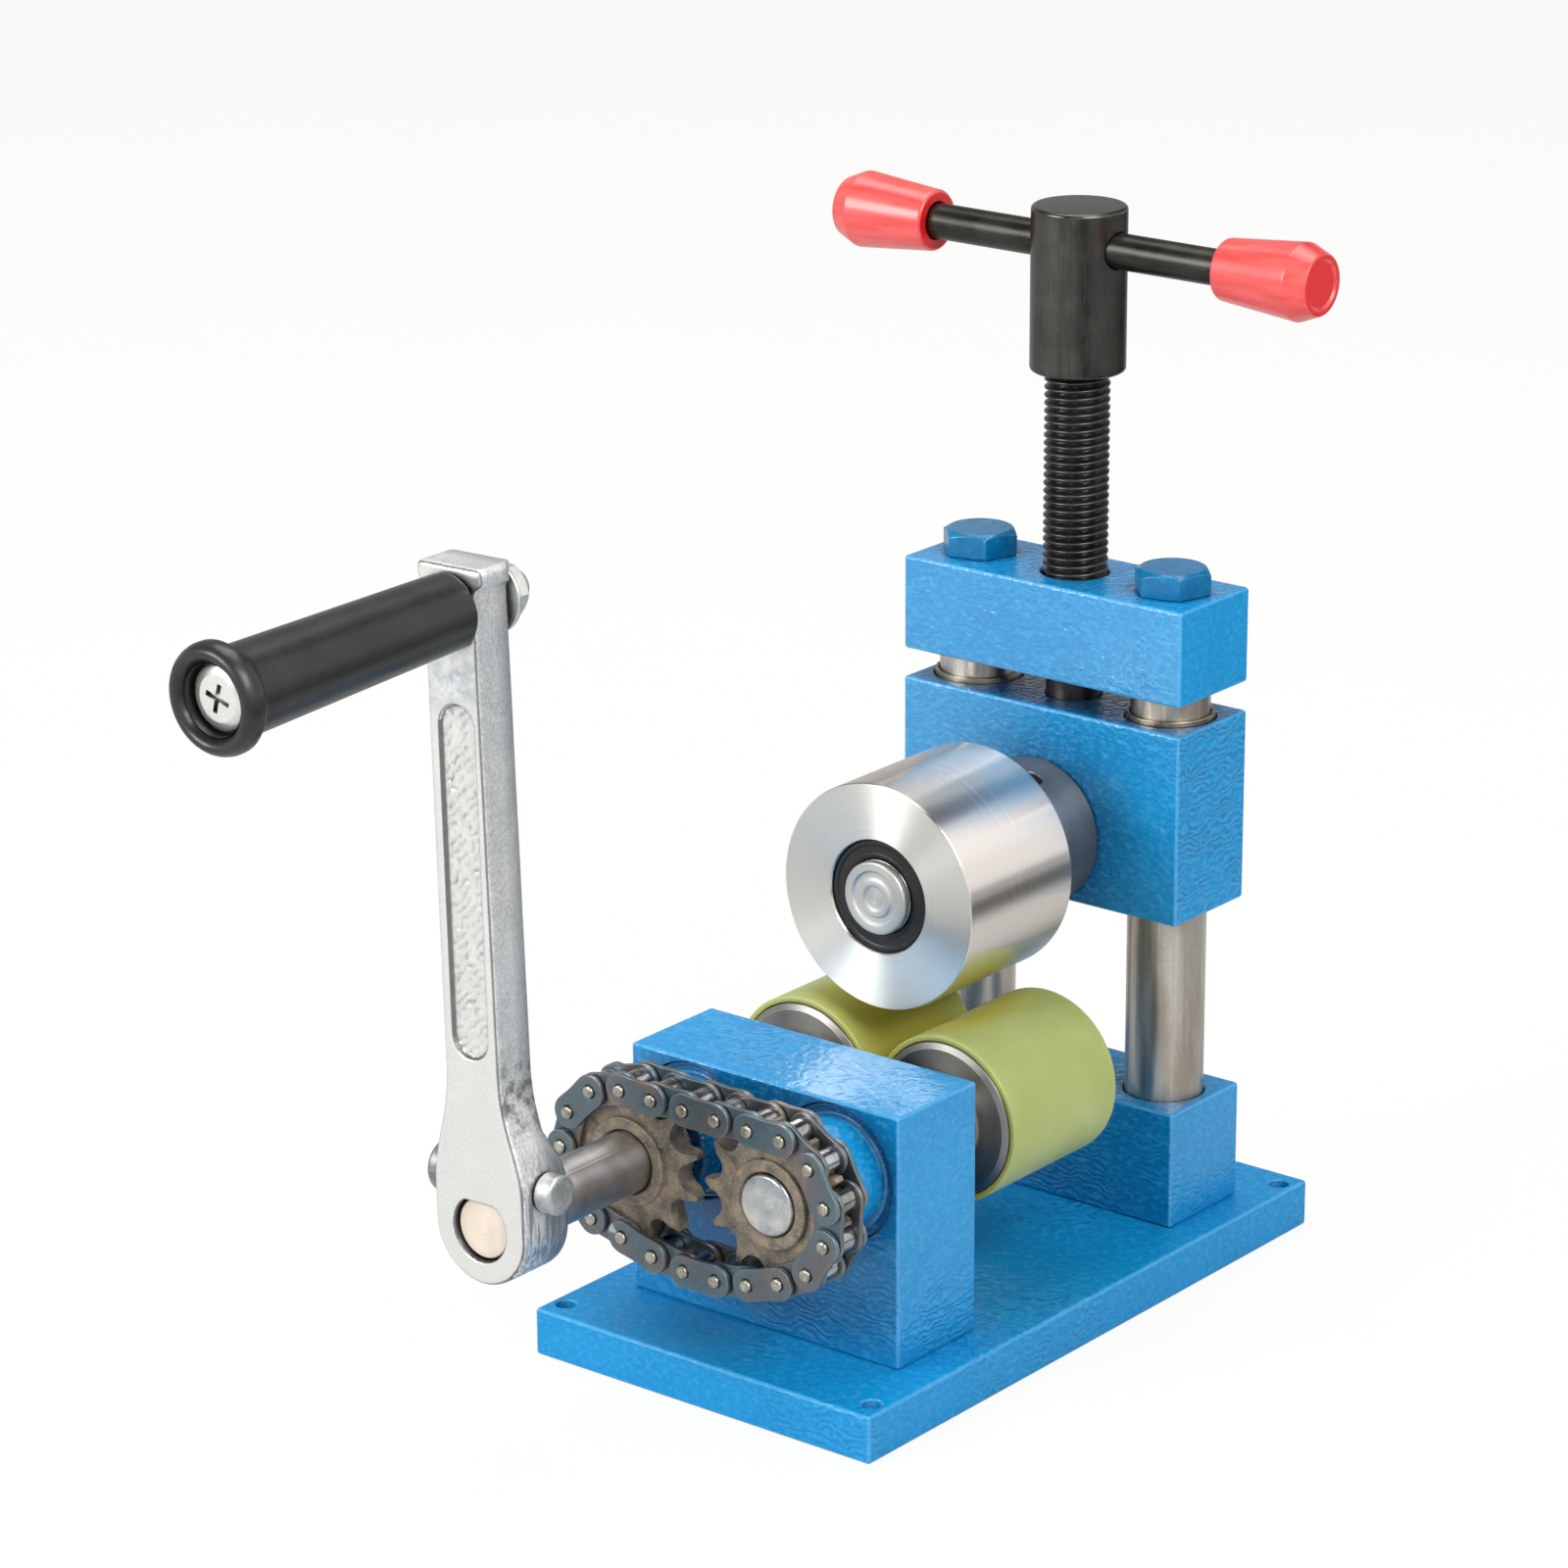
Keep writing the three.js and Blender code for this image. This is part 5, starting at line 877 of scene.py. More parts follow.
def add_studio():
    add_camera()
    add_world()
    add_lamp("key", (1.3, -0.5, 1.3), (0, 0, 0.1), (0.9, 0.9), 22)
    add_lamp("front", (-0.7, -1.5, 0.9), (0, 0, 0.1), (0.9, 0.7), 23)
    add_lamp("top", (-0.3, 0.3, 1.8), (0, 0, 0.1), (1.2, 1.2), 19)
    warm = (1, 0.82, 0.66)
    add_lamp("window", (-0.73, 0.915, 0.553), (0.018, -0.048, 0.075), (0.075, 0.06), 0.026, warm)
    floor = bpy.data.objects.new("floor", bpy.data.meshes.new("floor"))
    corners = [(3.0 * x, 3.0 * y, 0) for x, y in ((-1, -1), (1, -1), (1, 1), (-1, 1))]
    floor.data.from_pydata(corners, [], [(0, 1, 2, 3)])
    SCENE.collection.objects.link(floor)
    floor.data.materials.append(floor_white())


def floor_white():
    """Pale paper, seen partly as lit and partly as plain white, so that it keeps a faint shadow.
    In reflections it darkens in a stretch towards the back right, like the studio's far end."""
    g = Graph("floor_paper", Roughness=0.9, Specular_IOR_Level=0.0)
    paper = g.step(g.noise(60, detail=2), 0.3, 0.7, 0.78, 0.8)
    place = g.axes("Object")
    away = g.plus(g.times(place["X"], 1.14), g.times(place["Y"], 0.38))
    far_end = g.ramp(away, (0.05, 0.55), (0.27, 0.5), (0.4, 0.1), (0.8, 0.06), (1.0, 0.5))
    rays = g.node("ShaderNodeLightPath").outputs
    g.link(Base_Color=g.mix(rays["Is Glossy Ray"], paper, far_end))
    white = g.node("ShaderNodeEmission", Color=(1, 1, 0.99, 1), Strength=1.0).outputs[0]
    share = g.times(rays["Is Camera Ray"], 0.9)
    mixed = g.node("ShaderNodeMixShader", i0=share, i1=g.shader.outputs[0], i2=white)
    g.tree.links.new(mixed.outputs[0], g.tree.nodes["Material Output"].inputs["Surface"])
    return g.material


# The painted blocks, and the screws and bolts that hold them

BASE_HOLE_SIDE_INSET = 4.3
BASE_HOLE_END_INSET = 6.5
BASE_HOLE_RADIUS = 2.5
SCREW_HEAD_RADIUS = 5
SCREW_HEAD_HEIGHT = 5
SCREW_SHANK_RADIUS = 3
SCREW_SOCKET = 2.8
SCREW_HOLE_TOP = 30
BEARING_RADIUS = 16
BEARING_WIDTH = 9
WEB_RISE = 2.1           # of the front block's inner wall above its bearing seats
RECESS_RADIUS = 17
RECESS_DEPTH = 3.2
BOSS_RADIUS = 14
FLANGE_SINK = 1.5        # of the bearing cover's flange below the block's front face
BOLT_RADIUS = 5
BOLT_HEAD_HEIGHT = 6.2
BOLT_HEAD_RADIUS = 9.8
BOLT_HEAD_TURN = radians(15)
NECK_STEP = 1.1          # from the feed screw's thread down to its plain neck
UPRIGHT = Matrix.Rotation(pi / 2, 4, "X")


def add_block(node, tools, radius=0.9):
    block = rounded_block(f"mill_{node}", *box(node), radius)
    stand_in(combine(block, tools), "paint", node)


def screw_hole(x, y):
    """The counterbored hole for a cap screw that comes up through the base plate."""
    head, shank, shoulder = SCREW_HEAD_RADIUS + GAP, SCREW_SHANK_RADIUS + GAP, SCREW_HEAD_HEIGHT + GAP
    return tool([
        (0, -PAST), (head, -PAST, 0), (head, shoulder), (shank, shoulder), (shank, SCREW_HOLE_TOP),
        (0, SCREW_HOLE_TOP),
    ], "Z", (x, y, 0), COARSE)


def add_base_plate():
    low, high = box("base_plate")
    hole = through_hole(BASE_HOLE_RADIUS, low.z, high.z, 0.35)
    x, y = high.x - BASE_HOLE_SIDE_INSET, high.y - BASE_HOLE_END_INSET
    corners = [(x * right, y * back, 0) for right in (-1, 1) for back in (-1, 1)]
    tools = [tool(hole, "Z", corner, COARSE) for corner in corners]
    add_block("base_plate", tools + [screw_hole(*middle(node)[:2]) for node in SCREWS], 1.0)


def add_cap_screws():
    for node in SCREWS:
        low, high = box(node)
        x, y, _ = middle(node)
        shoulder = low.z + SCREW_HEAD_HEIGHT
        screw = turned(f"mill_{node}", [
            (0, low.z), (SCREW_HEAD_RADIUS, low.z, 0.6), (SCREW_HEAD_RADIUS, shoulder),
            (SCREW_SHANK_RADIUS, shoulder, 0.3), (SCREW_SHANK_RADIUS, high.z, 0.5), (0, high.z),
        ], "Z", (x, y, 0), COARSE)
        stand = Matrix.Translation((x, y, low.z)) @ UPRIGHT
        socket = prism(polygon(6, SCREW_SOCKET), -PAST, SCREW_HEAD_HEIGHT / 2, stand)
        stand_in(combine(screw, [socket]), "black steel", node)


def add_front_block():
    low, high = box("front_block")
    seat = low.y + RECESS_DEPTH
    shoulder = seat + BEARING_WIDTH + GAP
    web = BEARING_RADIUS - WEB_RISE
    back = high.y - BEARING_WIDTH - GAP
    profile = [
        (0, low.y - PAST), (RECESS_RADIUS + 0.3 + PAST, low.y - PAST, 0), (RECESS_RADIUS, low.y + 0.3, 0.5),
        (RECESS_RADIUS, seat), (BEARING_RADIUS, seat), (BEARING_RADIUS, shoulder), (web, shoulder),
        (web, back), (BEARING_RADIUS, back), (BEARING_RADIUS, high.y - 0.3, 0.5),
        (BEARING_RADIUS + 0.3 + PAST, high.y + PAST, 0), (0, high.y + PAST),
    ]
    tools = [tool(profile, "Y", at) for at in SHAFTS.values()]
    add_block("front_block", tools + [screw_hole(*middle(node)[:2]) for node in SCREWS[:2]])


def add_bearing_covers():
    for side, at in SHAFTS.items():
        node = f"bearing_cover_{side}"
        low, high = box(node)
        face = box("front_block")[0].y + FLANGE_SINK
        rim, bore = half(node), SHAFT_RADIUS + 2 * GAP
        turn_piece(node, "paint", [
            (bore, low.y, 0.4), (BOSS_RADIUS, low.y, 1.2), (BOSS_RADIUS, face, 1.2),
            (rim - 1.1, face, 0.3), (rim - 0.7, face - 0.5, 0.2), (rim, face - 0.5, 0.3),
            (rim, high.y), (bore, high.y),
        ], "Y", at)


def add_foot_block():
    low, high = box("foot_block")
    bore = through_hole(COLUMN_RADIUS + GAP, low.z, high.z, 0.3)
    add_block("foot_block", [tool(bore, "Z", at) for at in COLUMNS.values()])


def add_slide_block():
    low, high = box("slide_block")
    pin_low, pin_high = box("retaining_pin")
    pin, pin_axis = half("retaining_pin"), middle("retaining_pin") * Vector((1, 0, 1))
    bush = through_hole(half("slide_bush_left", "x") + GAP, low.z, high.z, 0.3)
    neck = pit(half("feed_screw", "x") - NECK_STEP + GAP, box("feed_screw")[0].z - GAP, high.z + PAST)
    axle = pit(SHAFT_RADIUS + GAP, box("roller_axle")[1].y + GAP, low.y - PAST)
    add_block("slide_block", [tool(bush, "Z", at) for at in COLUMNS.values()] + [
        tool(neck, "Z", SCREW_AXIS), tool(axle, "Y", AXLE),
        tool(rod(pin + GAP, pin_low.y - GAP, high.y + PAST), "Y", pin_axis, COARSE),
    ])
    profile = rod(pin, pin_low.y, pin_high.y)
    turn_piece("retaining_pin", "inner steel", profile, "Y", pin_axis, COARSE, 0.3)


def add_crosshead():
    low, high = box("crosshead")
    column, bolt = COLUMN_RADIUS + GAP, BOLT_RADIUS + GAP
    seat = box("column_left")[1].z + GAP
    stepped = [
        (0, low.z - PAST), (column, low.z - PAST, 0), (column, seat), (bolt, seat),
        (bolt, high.z + PAST, 0), (0, high.z + PAST),
    ]
    screw = through_hole(half("feed_screw", "x") + GAP, low.z, high.z, 0.5)
    tools = [tool(stepped, "Z", at) for at in COLUMNS.values()]
    add_block("crosshead", tools + [tool(screw, "Z", SCREW_AXIS)])


def cut_back(head, cone, rounding):
    """Cuts a hexagonal prism's corners back to a cone and rounds its edges."""
    return soften(combine(head, [cone], "INTERSECT"), rounding)


def add_crosshead_bolts():
    seat = box("crosshead")[1].z
    hexagon = [(x, -y) for x, y in polygon(6, BOLT_HEAD_RADIUS, BOLT_HEAD_TURN)]
    rim, flat, top = BOLT_HEAD_RADIUS + PAST, 0.8 * BOLT_HEAD_RADIUS, BOLT_HEAD_HEIGHT
    cone = [(0, -PAST), (rim, -PAST, 0), (rim, top - 1.9, 0), (flat, top, 0.5), (0, top)]
    for side, at in COLUMNS.items():
        node = f"crosshead_bolt_{side}"
        low = box(node)[0]
        on_seat = Vector((*at[:2], seat))
        head = prism(hexagon, 0, top, Matrix.Translation(on_seat) @ UPRIGHT, f"mill_{node}")
        cut_back(head, tool(cone, "Z", on_seat), 0.35)
        shank = tool([
            (0, low.z), (BOLT_RADIUS, low.z, 0.6), (BOLT_RADIUS, seat + 2), (0, seat + 2),
        ], "Z", at, COARSE)
        stand_in(combine(head, [shank], "UNION"), "bolt paint", node)


# Columns, bushes and bearings

RACE_RADIUS = 13.9       # inside a lower bearing's outer ring, behind its shields
SHIELD_THICKNESS = 0.7
SHIELD_CLEARANCE = 2.1   # from the shaft's bearing ring to a lower bearing's shield
SEAL_CLEARANCE = 1.3


def add_columns():
    for side, at in COLUMNS.items():
        node, bush = f"column_{side}", f"slide_bush_{side}"
        low, high = box(node)
        column = turned(f"mill_{node}", rod(COLUMN_RADIUS, low.z, high.z, 0.6), "Z", at)
        tapped = pit(BOLT_RADIUS + GAP, box(f"crosshead_bolt_{side}")[0].z - GAP, high.z + PAST)
        combine(column, [tool(tapped, "Z", at, COARSE), screw_hole(*at[:2])])
        stand_in(column, f"column {side}", node)
        low, high = box(bush)
        profile = tube(COLUMN_RADIUS + GAP, half(bush, "x"), low.z, high.z)
        turn_piece(bush, "bronze", profile, "Z", at, edge=0.25)


def add_bearings():
    """The rings of the ball bearings, each turned to its CAD ring's box."""
    for side, at in SHAFTS.items():
        for end in ("front", "back"):
            add_outer_ring(f"{end}_outer_ring_{side}", at)
            add_inner_ring(f"{end}_inner_ring_{side}", at)
    for node in ("pressure_inner_ring_front", "pressure_inner_ring_back", "bearing_spacer"):
        add_inner_ring(node, AXLE)
    for end, side in (("front", 1), ("back", -1)):
        add_seal(f"pressure_outer_ring_{end}", side)


def add_outer_ring(node, at):
    low, high = box(node)
    lip, outer = SHAFT_RADIUS + 2 * GAP + SHIELD_CLEARANCE, half(node)
    front, back = low.y + SHIELD_THICKNESS, high.y - SHIELD_THICKNESS
    turn_piece(node, "inner steel", [
        (lip, low.y), (outer, low.y, 0.5), (outer, high.y, 0.5), (lip, high.y),
        (lip, back), (RACE_RADIUS, back), (RACE_RADIUS, front), (lip, front),
    ], "Y", at, edge=0.25)


def add_inner_ring(node, at):
    low, high = box(node)
    profile = tube(SHAFT_RADIUS + GAP, half(node), low.y, high.y)
    turn_piece(node, "inner steel", profile, "Y", at, edge=0.25)


def add_seal(node, side):
    """One of the pressure roller's sealed rings: a steel rim round a dished rubber seal."""
    face, rear = (corner.y for corner in box(node)[::side])
    lip, outer = SHAFT_RADIUS + SEAL_CLEARANCE + 2 * GAP, half(node)
    race = outer - 0.6
    turn_piece(node, "seal", [
        (lip, face + 0.25 * side, 0.15), (lip + 0.9, face + 0.1 * side, 0.2),
        (lip + 1.2, face + 0.28 * side, 0.2), (race - 0.7, face + 0.28 * side, 0.2),
        (race - 0.3, face + 0.02 * side, 0.15), (outer, face, 0.2), (outer, rear, 0.2),
        (race, rear), (race, face + 0.7 * side), (lip, face + 0.7 * side),
    ], "Y", AXLE)


# Chain and sprockets

TOP_LINKS = math.ceil(2 * SHAFT_X / PITCH)
TOOTH_STEP = 2 * pi / TEETH
SPROCKET_THICKNESS = 5.1
SPROCKET_HUB_RADIUS = 11
TIP_RADIUS = PITCH_RADIUS + 2
SEAT_SWEEP = radians(130)


def on_circle(centre, angle):
    return Vector((centre + PITCH_RADIUS * cos(angle), 0, PITCH_RADIUS * sin(angle)))


def solve(low, high, too_low):
    """The value between low and high at which too_low stops being true."""
    for _ in range(50):
        guess = (low + high) / 2
        low, high = (guess, high) if too_low(guess) else (low, guess)
    return (low + high) / 2


# The chain's top pin on the left sprocket, and the angle on the right one of the first pin that
# it holds when the top run is whole links.
TOP_PIN = on_circle(-SHAFT_X, pi / 2)
RIGHT_PHASE = solve(
    0, pi / 2, lambda angle: (on_circle(SHAFT_X, angle) - TOP_PIN).length > TOP_LINKS * PITCH,
)


def hanging_points(start, end, count):
    """Points on the arc below the chord whose equal chords are one pitch long."""
    links, chord = count + 1, end - start
    turn = solve(1e-4, pi / links, lambda turn: PITCH * sin(links * turn) / sin(turn) > chord.length)
    points, here = [], start.copy()
    for i in range(count):
        heading = math.atan2(chord.z, chord.x) + (count - 2 * i) * turn
        here = here + PITCH * Vector((cos(heading), 0, sin(heading)))
        points.append(here)
    return points


def chain_pins():
    """Pin centres clockwise from the top of the left sprocket, about the shafts' height."""
    first = on_circle(SHAFT_X, RIGHT_PHASE)
    pins = [TOP_PIN.lerp(first, i / TOP_LINKS) for i in range(TOP_LINKS)]
    angle = RIGHT_PHASE
    while angle > -pi / 2:
        pins.append(on_circle(SHAFT_X, angle))
        angle -= TOOTH_STEP
    left = []
    angle = pi / 2 + TOOTH_STEP
    while angle <= 1.5 * pi + 1e-6:
        left.insert(0, on_circle(-SHAFT_X, angle))
        angle += TOOTH_STEP
    return pins + hanging_points(pins[-1], left[0], LINKS - len(pins) - len(left)) + left


def chain_plate(start):
    """A plate with two round ends about its pins and a slight waist between them."""
    end, waist = PLATE_HEIGHT / 2, 8
    points = []
    for side in (1, -1):
        points += arc(end, side * pi / 2, -pi, 14, (side * PITCH / 2, 0))
        for k in range(1, waist):
            x = side * (PITCH / 2 - PITCH * k / waist)
            points.append((x, -side * (end - PLATE_WAIST * cos(pi * x / PITCH) ** 2)))
    holes = [(x, 0, PIN_RADIUS) for x in (-PITCH / 2, PITCH / 2)]
    return extruded(points, start, start + PLATE_THICKNESS, rim=0.3, holes=holes)


def link_places(pins):
    places = []
    for pin, other in zip(pins, pins[1:] + pins[:1]):
        run = other - pin
        at = pin + run / 2 + Vector((0, CHAIN_Y, SHAFT_Z))
        places.append(Matrix.Translation(at) @ Matrix.Rotation(-math.atan2(run.z, run.x), 4, "Y"))
    return places


def cranked_plate(shift):
    """A plate bent in its middle, inner at its first pin and outer at its second."""
    data = chain_plate(INNER_WIDTH / 2)
    bend = PITCH / 7
    for k in range(-3, 4):
        cut = Vector((bend * k / 3, 0, 0))
        geometry = data.verts[:] + data.edges[:] + data.faces[:]
        bmesh.ops.bisect_plane(data, geom=geometry, plane_co=cut, plane_no=(1, 0, 0))
    for vert in data.verts:
        share = min(max((vert.co.x + bend) / (2 * bend), 0), 1)
        vert.co.y += shift * share * share * (3 - 2 * share)
    return data


def add_chain_part(name, finish, template, places):
    stand_in(to_object(f"mill_chain_{name}", copies(template, places)), finish, "drive_chain")


def add_chain():
    pins = chain_pins()
    cranked = LINKS - 4
    mirror = Matrix.Scale(-1, 4, (0, 1, 0))
    inside, shift = INNER_WIDTH / 2, PLATE_THICKNESS + GAP
    links = {"outer_plates": [], "inner_plates": [], "cranked_link": []}
    for i, place in enumerate(link_places(pins)):
        kind = "outer_plates" if (i < cranked) == (i % 2 == 0) else "inner_plates"
        links["cranked_link" if i == cranked else kind] += [place, place @ mirror]
    add_chain_part("outer_plates", "chain plate", chain_plate(inside + shift), links["outer_plates"])
    add_chain_part("inner_plates", "chain plate", chain_plate(inside), links["inner_plates"])
    add_chain_part("cranked_link", "chain plate", cranked_plate(shift), links["cranked_link"])
    end, free = inside + shift + PLATE_THICKNESS + PIN_OVERHANG, inside - 0.1
    spots = [Matrix.Translation(pin + Vector((0, CHAIN_Y, SHAFT_Z))) for pin in pins]
    for name, finish, profile in (
        ("pins", "chain pin", rod(PIN_RADIUS - 0.1, -end, end, 0.5)),
        ("rollers", "chain roller", tube(BUSHING_RADIUS + 0.05, CHAIN_ROLLER_RADIUS, -free, free)),
        ("bushings", "chain roller", tube(PIN_RADIUS, BUSHING_RADIUS, -inside, inside)),
    ):
        add_chain_part(name, finish, spun(profile, facets=32, edge=0.3), spots)


def sprocket_outline(phase):
    """Round seats for the chain's rollers, with tapering teeth between them."""
    points = []
    for tooth in range(TEETH):
        space = phase + tooth * TOOTH_STEP
        centre = (PITCH_RADIUS * cos(space), PITCH_RADIUS * sin(space))
        points += arc(CHAIN_ROLLER_RADIUS + GAP, space + pi + SEAT_SWEEP / 2, -SEAT_SWEEP, 10, centre)
        points += arc(TIP_RADIUS, space + TOOTH_STEP / 2 - 0.5 / TIP_RADIUS, 1 / TIP_RADIUS, 1)
    return points


def add_sprockets():
    front, back = CHAIN_Y - SPROCKET_THICKNESS / 2, CHAIN_Y + SPROCKET_THICKNESS / 2
    root, rim = TIP_RADIUS - 2.4, TIP_RADIUS + 0.3
    trim = [
        (0, front), (root, front, 0), (rim, front + 1.3, 0), (rim, back - 1.3, 0), (root, back, 0),
        (0, back),
    ]
    for node, side, phase in (("drive", "left", pi / 2), ("driven", "right", RIGHT_PHASE)):
        node, at = f"{node}_sprocket", SHAFTS[side]
        low, high = box(node)
        disc = prism(sprocket_outline(phase), front, back, Matrix.Translation(at), f"mill_{node}")
        combine(disc, [tool(trim, "Y", at)], "INTERSECT")
        combine(disc, [tool(rod(SPROCKET_HUB_RADIUS, low.y, high.y, 0.5), "Y", at)], "UNION")
        combine(disc, [tool(through_hole(SHAFT_RADIUS + GAP, low.y, high.y, 0.45), "Y", at)])
        stand_in(disc, "sprocket", node)


# Shafts, rollers and axle

CORE_HUB_RADIUS = 10.5
CORE_HUB_REACH = 0.8     # of the core's shoulder in front of the tyre
TAP_RADIUS = 3
TAP_DEPTH = 16
TAP_START = box("driven_shaft")[1].y - TAP_DEPTH
END_HEAD = 4             # the end bolt's head
GRUB_TURN = radians(20)
GRUB_LENGTH = 8


def add_lower_rollers():
    for side, at in SHAFTS.items():
        core, tyre, washer = (f"{kind}_{side}" for kind in ("roller_core", "roller_tyre", "end_washer"))
        low, high = box(core)
        tyre_low, tyre_high = box(tyre)
        rim, bore, hub = half(core), SHAFT_RADIUS + GAP, CORE_HUB_RADIUS
        face = tyre_low.y - CORE_HUB_REACH
        turn_piece(core, f"core {side}", [
            (bore, low.y, 0.3), (hub, low.y, 0.5), (hub, face, 0.8), (rim - 1.5, face, 0.3),
            (rim, face + 0.75, 0.3), (rim, high.y, 0.6), (bore, high.y, 0.3),
        ], "Y", at)
        turn_piece(tyre, "tyre", [
            (rim + GAP, tyre_low.y, 0.15), (half(tyre), tyre_low.y, 1.1), (half(tyre), tyre_high.y, 1.1),
            (rim + GAP, tyre_high.y, 0.15),
        ], "Y", at, FINE)
        low, high = box(washer)
        profile = tube(TAP_RADIUS + GAP, half(washer), low.y, high.y)
        turn_piece(washer, "plain zinc", profile, "Y", at, edge=0.35)
        add_end_bolt(f"end_bolt_{side}", at)


def add_end_bolt(node, at):
    low, high = box(node)
    seat, inside = high.y - END_HEAD, high.y - END_HEAD + 1
    cone = [(0, seat), (6.6, seat, 0), (6.6, high.y - 1.4, 0), (4.6, high.y, 0.3), (0, high.y)]
    bolt = prism(polygon(6, 5.6), seat, high.y, Matrix.Translation(at), f"mill_{node}")
    cut_back(bolt, tool(cone, "Y", at, COARSE), 0.25)
    shank = [(0, low.y), (TAP_RADIUS, low.y, 0.4), (TAP_RADIUS, inside, 0), (0, inside)]
    combine(bolt, [tool(shank, "Y", at, COARSE)], "UNION")
    stand_in(bolt, "plain zinc", node)


def tapped_hole(node, at):
    profile = rod(TAP_RADIUS + GAP, TAP_START, box(node)[1].y + PAST)
    return tool(profile, "Y", at, COARSE, 0)


def add_shafts():
    low, high = box("driven_shaft")
    shaft = turned("mill_driven_shaft", [
        (0, low.y), (SHAFT_RADIUS, low.y, 0.9), (SHAFT_RADIUS, high.y, 0.6), (0, high.y),
    ], "Y", SHAFTS["right"])
    combine(shaft, [tapped_hole("driven_shaft", SHAFTS["right"])])
    stand_in(shaft, "driven shaft", "driven_shaft")
    low, high = box("drive_shaft")
    shaft = turned("mill_drive_shaft", rod(SHAFT_RADIUS, low.y, high.y, 0.6), "Y", place=CRANK_PLACE)
    seat = CRANK_FRONT + HUB_THICKNESS + PAST
    flat = rounded_block("tool", (-20, low.y - PAST, SHAFT_FLAT), (20, seat, 20), 0.3, 2)
    flat.data.transform(scaled(CRANK_PLACE))
    combine(shaft, [flat, tapped_hole("drive_shaft", SHAFTS["left"])])
    stand_in(shaft, "drive shaft", "drive_shaft")


def scaled(place):
    """A place in millimetres as one in metres."""
    return Matrix.Translation(place.translation * MM) @ place.to_3x3().to_4x4()


def add_pressure_roller():
    low, high = box("pressure_roller")
    radius = half("pressure_roller")
    seat, web, mouth, recess, depth = 14, 13.1, 14.3, 0.4, 8.1
    turn_piece("pressure_roller", "roller", [
        (mouth, low.y, 0.15), (radius, low.y, 0.45), (radius, high.y, 0.45), (mouth, high.y, 0.15),
        (seat, high.y - recess, 0.1), (seat, high.y - depth), (web, high.y - depth),
        (web, low.y + depth), (seat, low.y + depth), (seat, low.y + recess, 0.1),
    ], "Y", AXLE, facets=160)


def add_axle():
    """The pressure roller's axle, with turned rings on its head."""
    low, high = box("roller_axle")
    head, neck = half("roller_axle"), low.y + 1.8
    turn_piece("roller_axle", "axle", [
        (0, low.y + 0.35), (2.6, low.y + 0.35, 0.3), (3.4, low.y + 0.1, 0.3), (4.4, low.y + 0.1, 0.2),
        (5.0, low.y + 0.5, 0.3), (6.3, low.y + 0.5, 0.3), (6.8, low.y, 0.3), (head, low.y, 0.6),
        (head, neck, 0.2), (SHAFT_RADIUS, neck, 0.2), (SHAFT_RADIUS, high.y, 0.5), (0, high.y),
    ], "Y", AXLE)


def add_collar():
    """The collar behind the roller, and the grub screw that holds it on the axle."""
    low, high = box("axle_collar")
    radius, bore = half("axle_collar"), SHAFT_RADIUS + GAP
    lip, face, end = bore + 1.3, box("pressure_roller")[1].y + 1, bore + GRUB_LENGTH
    collar = turned("mill_axle_collar", [
        (bore, low.y), (lip, low.y), (lip, face, 0.2), (radius, face, 0.7), (radius, high.y, 0.5),
        (bore, high.y),
    ], "Y", AXLE, FINE)
    grub = half("collar_grub_screw", "y")
    place = Matrix.Translation((0, middle("collar_grub_screw").y, AXLE_Z))
    turn = place @ Matrix.Rotation(GRUB_TURN, 4, "Y")
    hole = tool([
        (0, SHAFT_RADIUS), (grub + GAP, SHAFT_RADIUS, 0), (grub + GAP, radius - 0.35, 0.3),
        (grub + 1.5, radius + PAST, 0), (0, radius + PAST),
    ], "Z", facets=COARSE, place=turn)
    stand_in(combine(collar, [hole]), "collar", "axle_collar")
    name = "mill_collar_grub_screw"
    screw = turned(name, rod(grub, bore, end), "Z", facets=COARSE, edge=0.4, place=turn)
    combine(screw, [prism(polygon(6, 1.4), end - 4, end + PAST, turn @ UPRIGHT)])
    stand_in(screw, "black steel", "collar_grub_screw")


# Feed screw and T-handle

THREAD_PITCH = 2
THREAD_DEPTH = 1.2
THREAD_ROWS = 12         # of the mesh in one turn
GROOVE_DEPTH = 1.4
GROOVE_REACH = 1.8


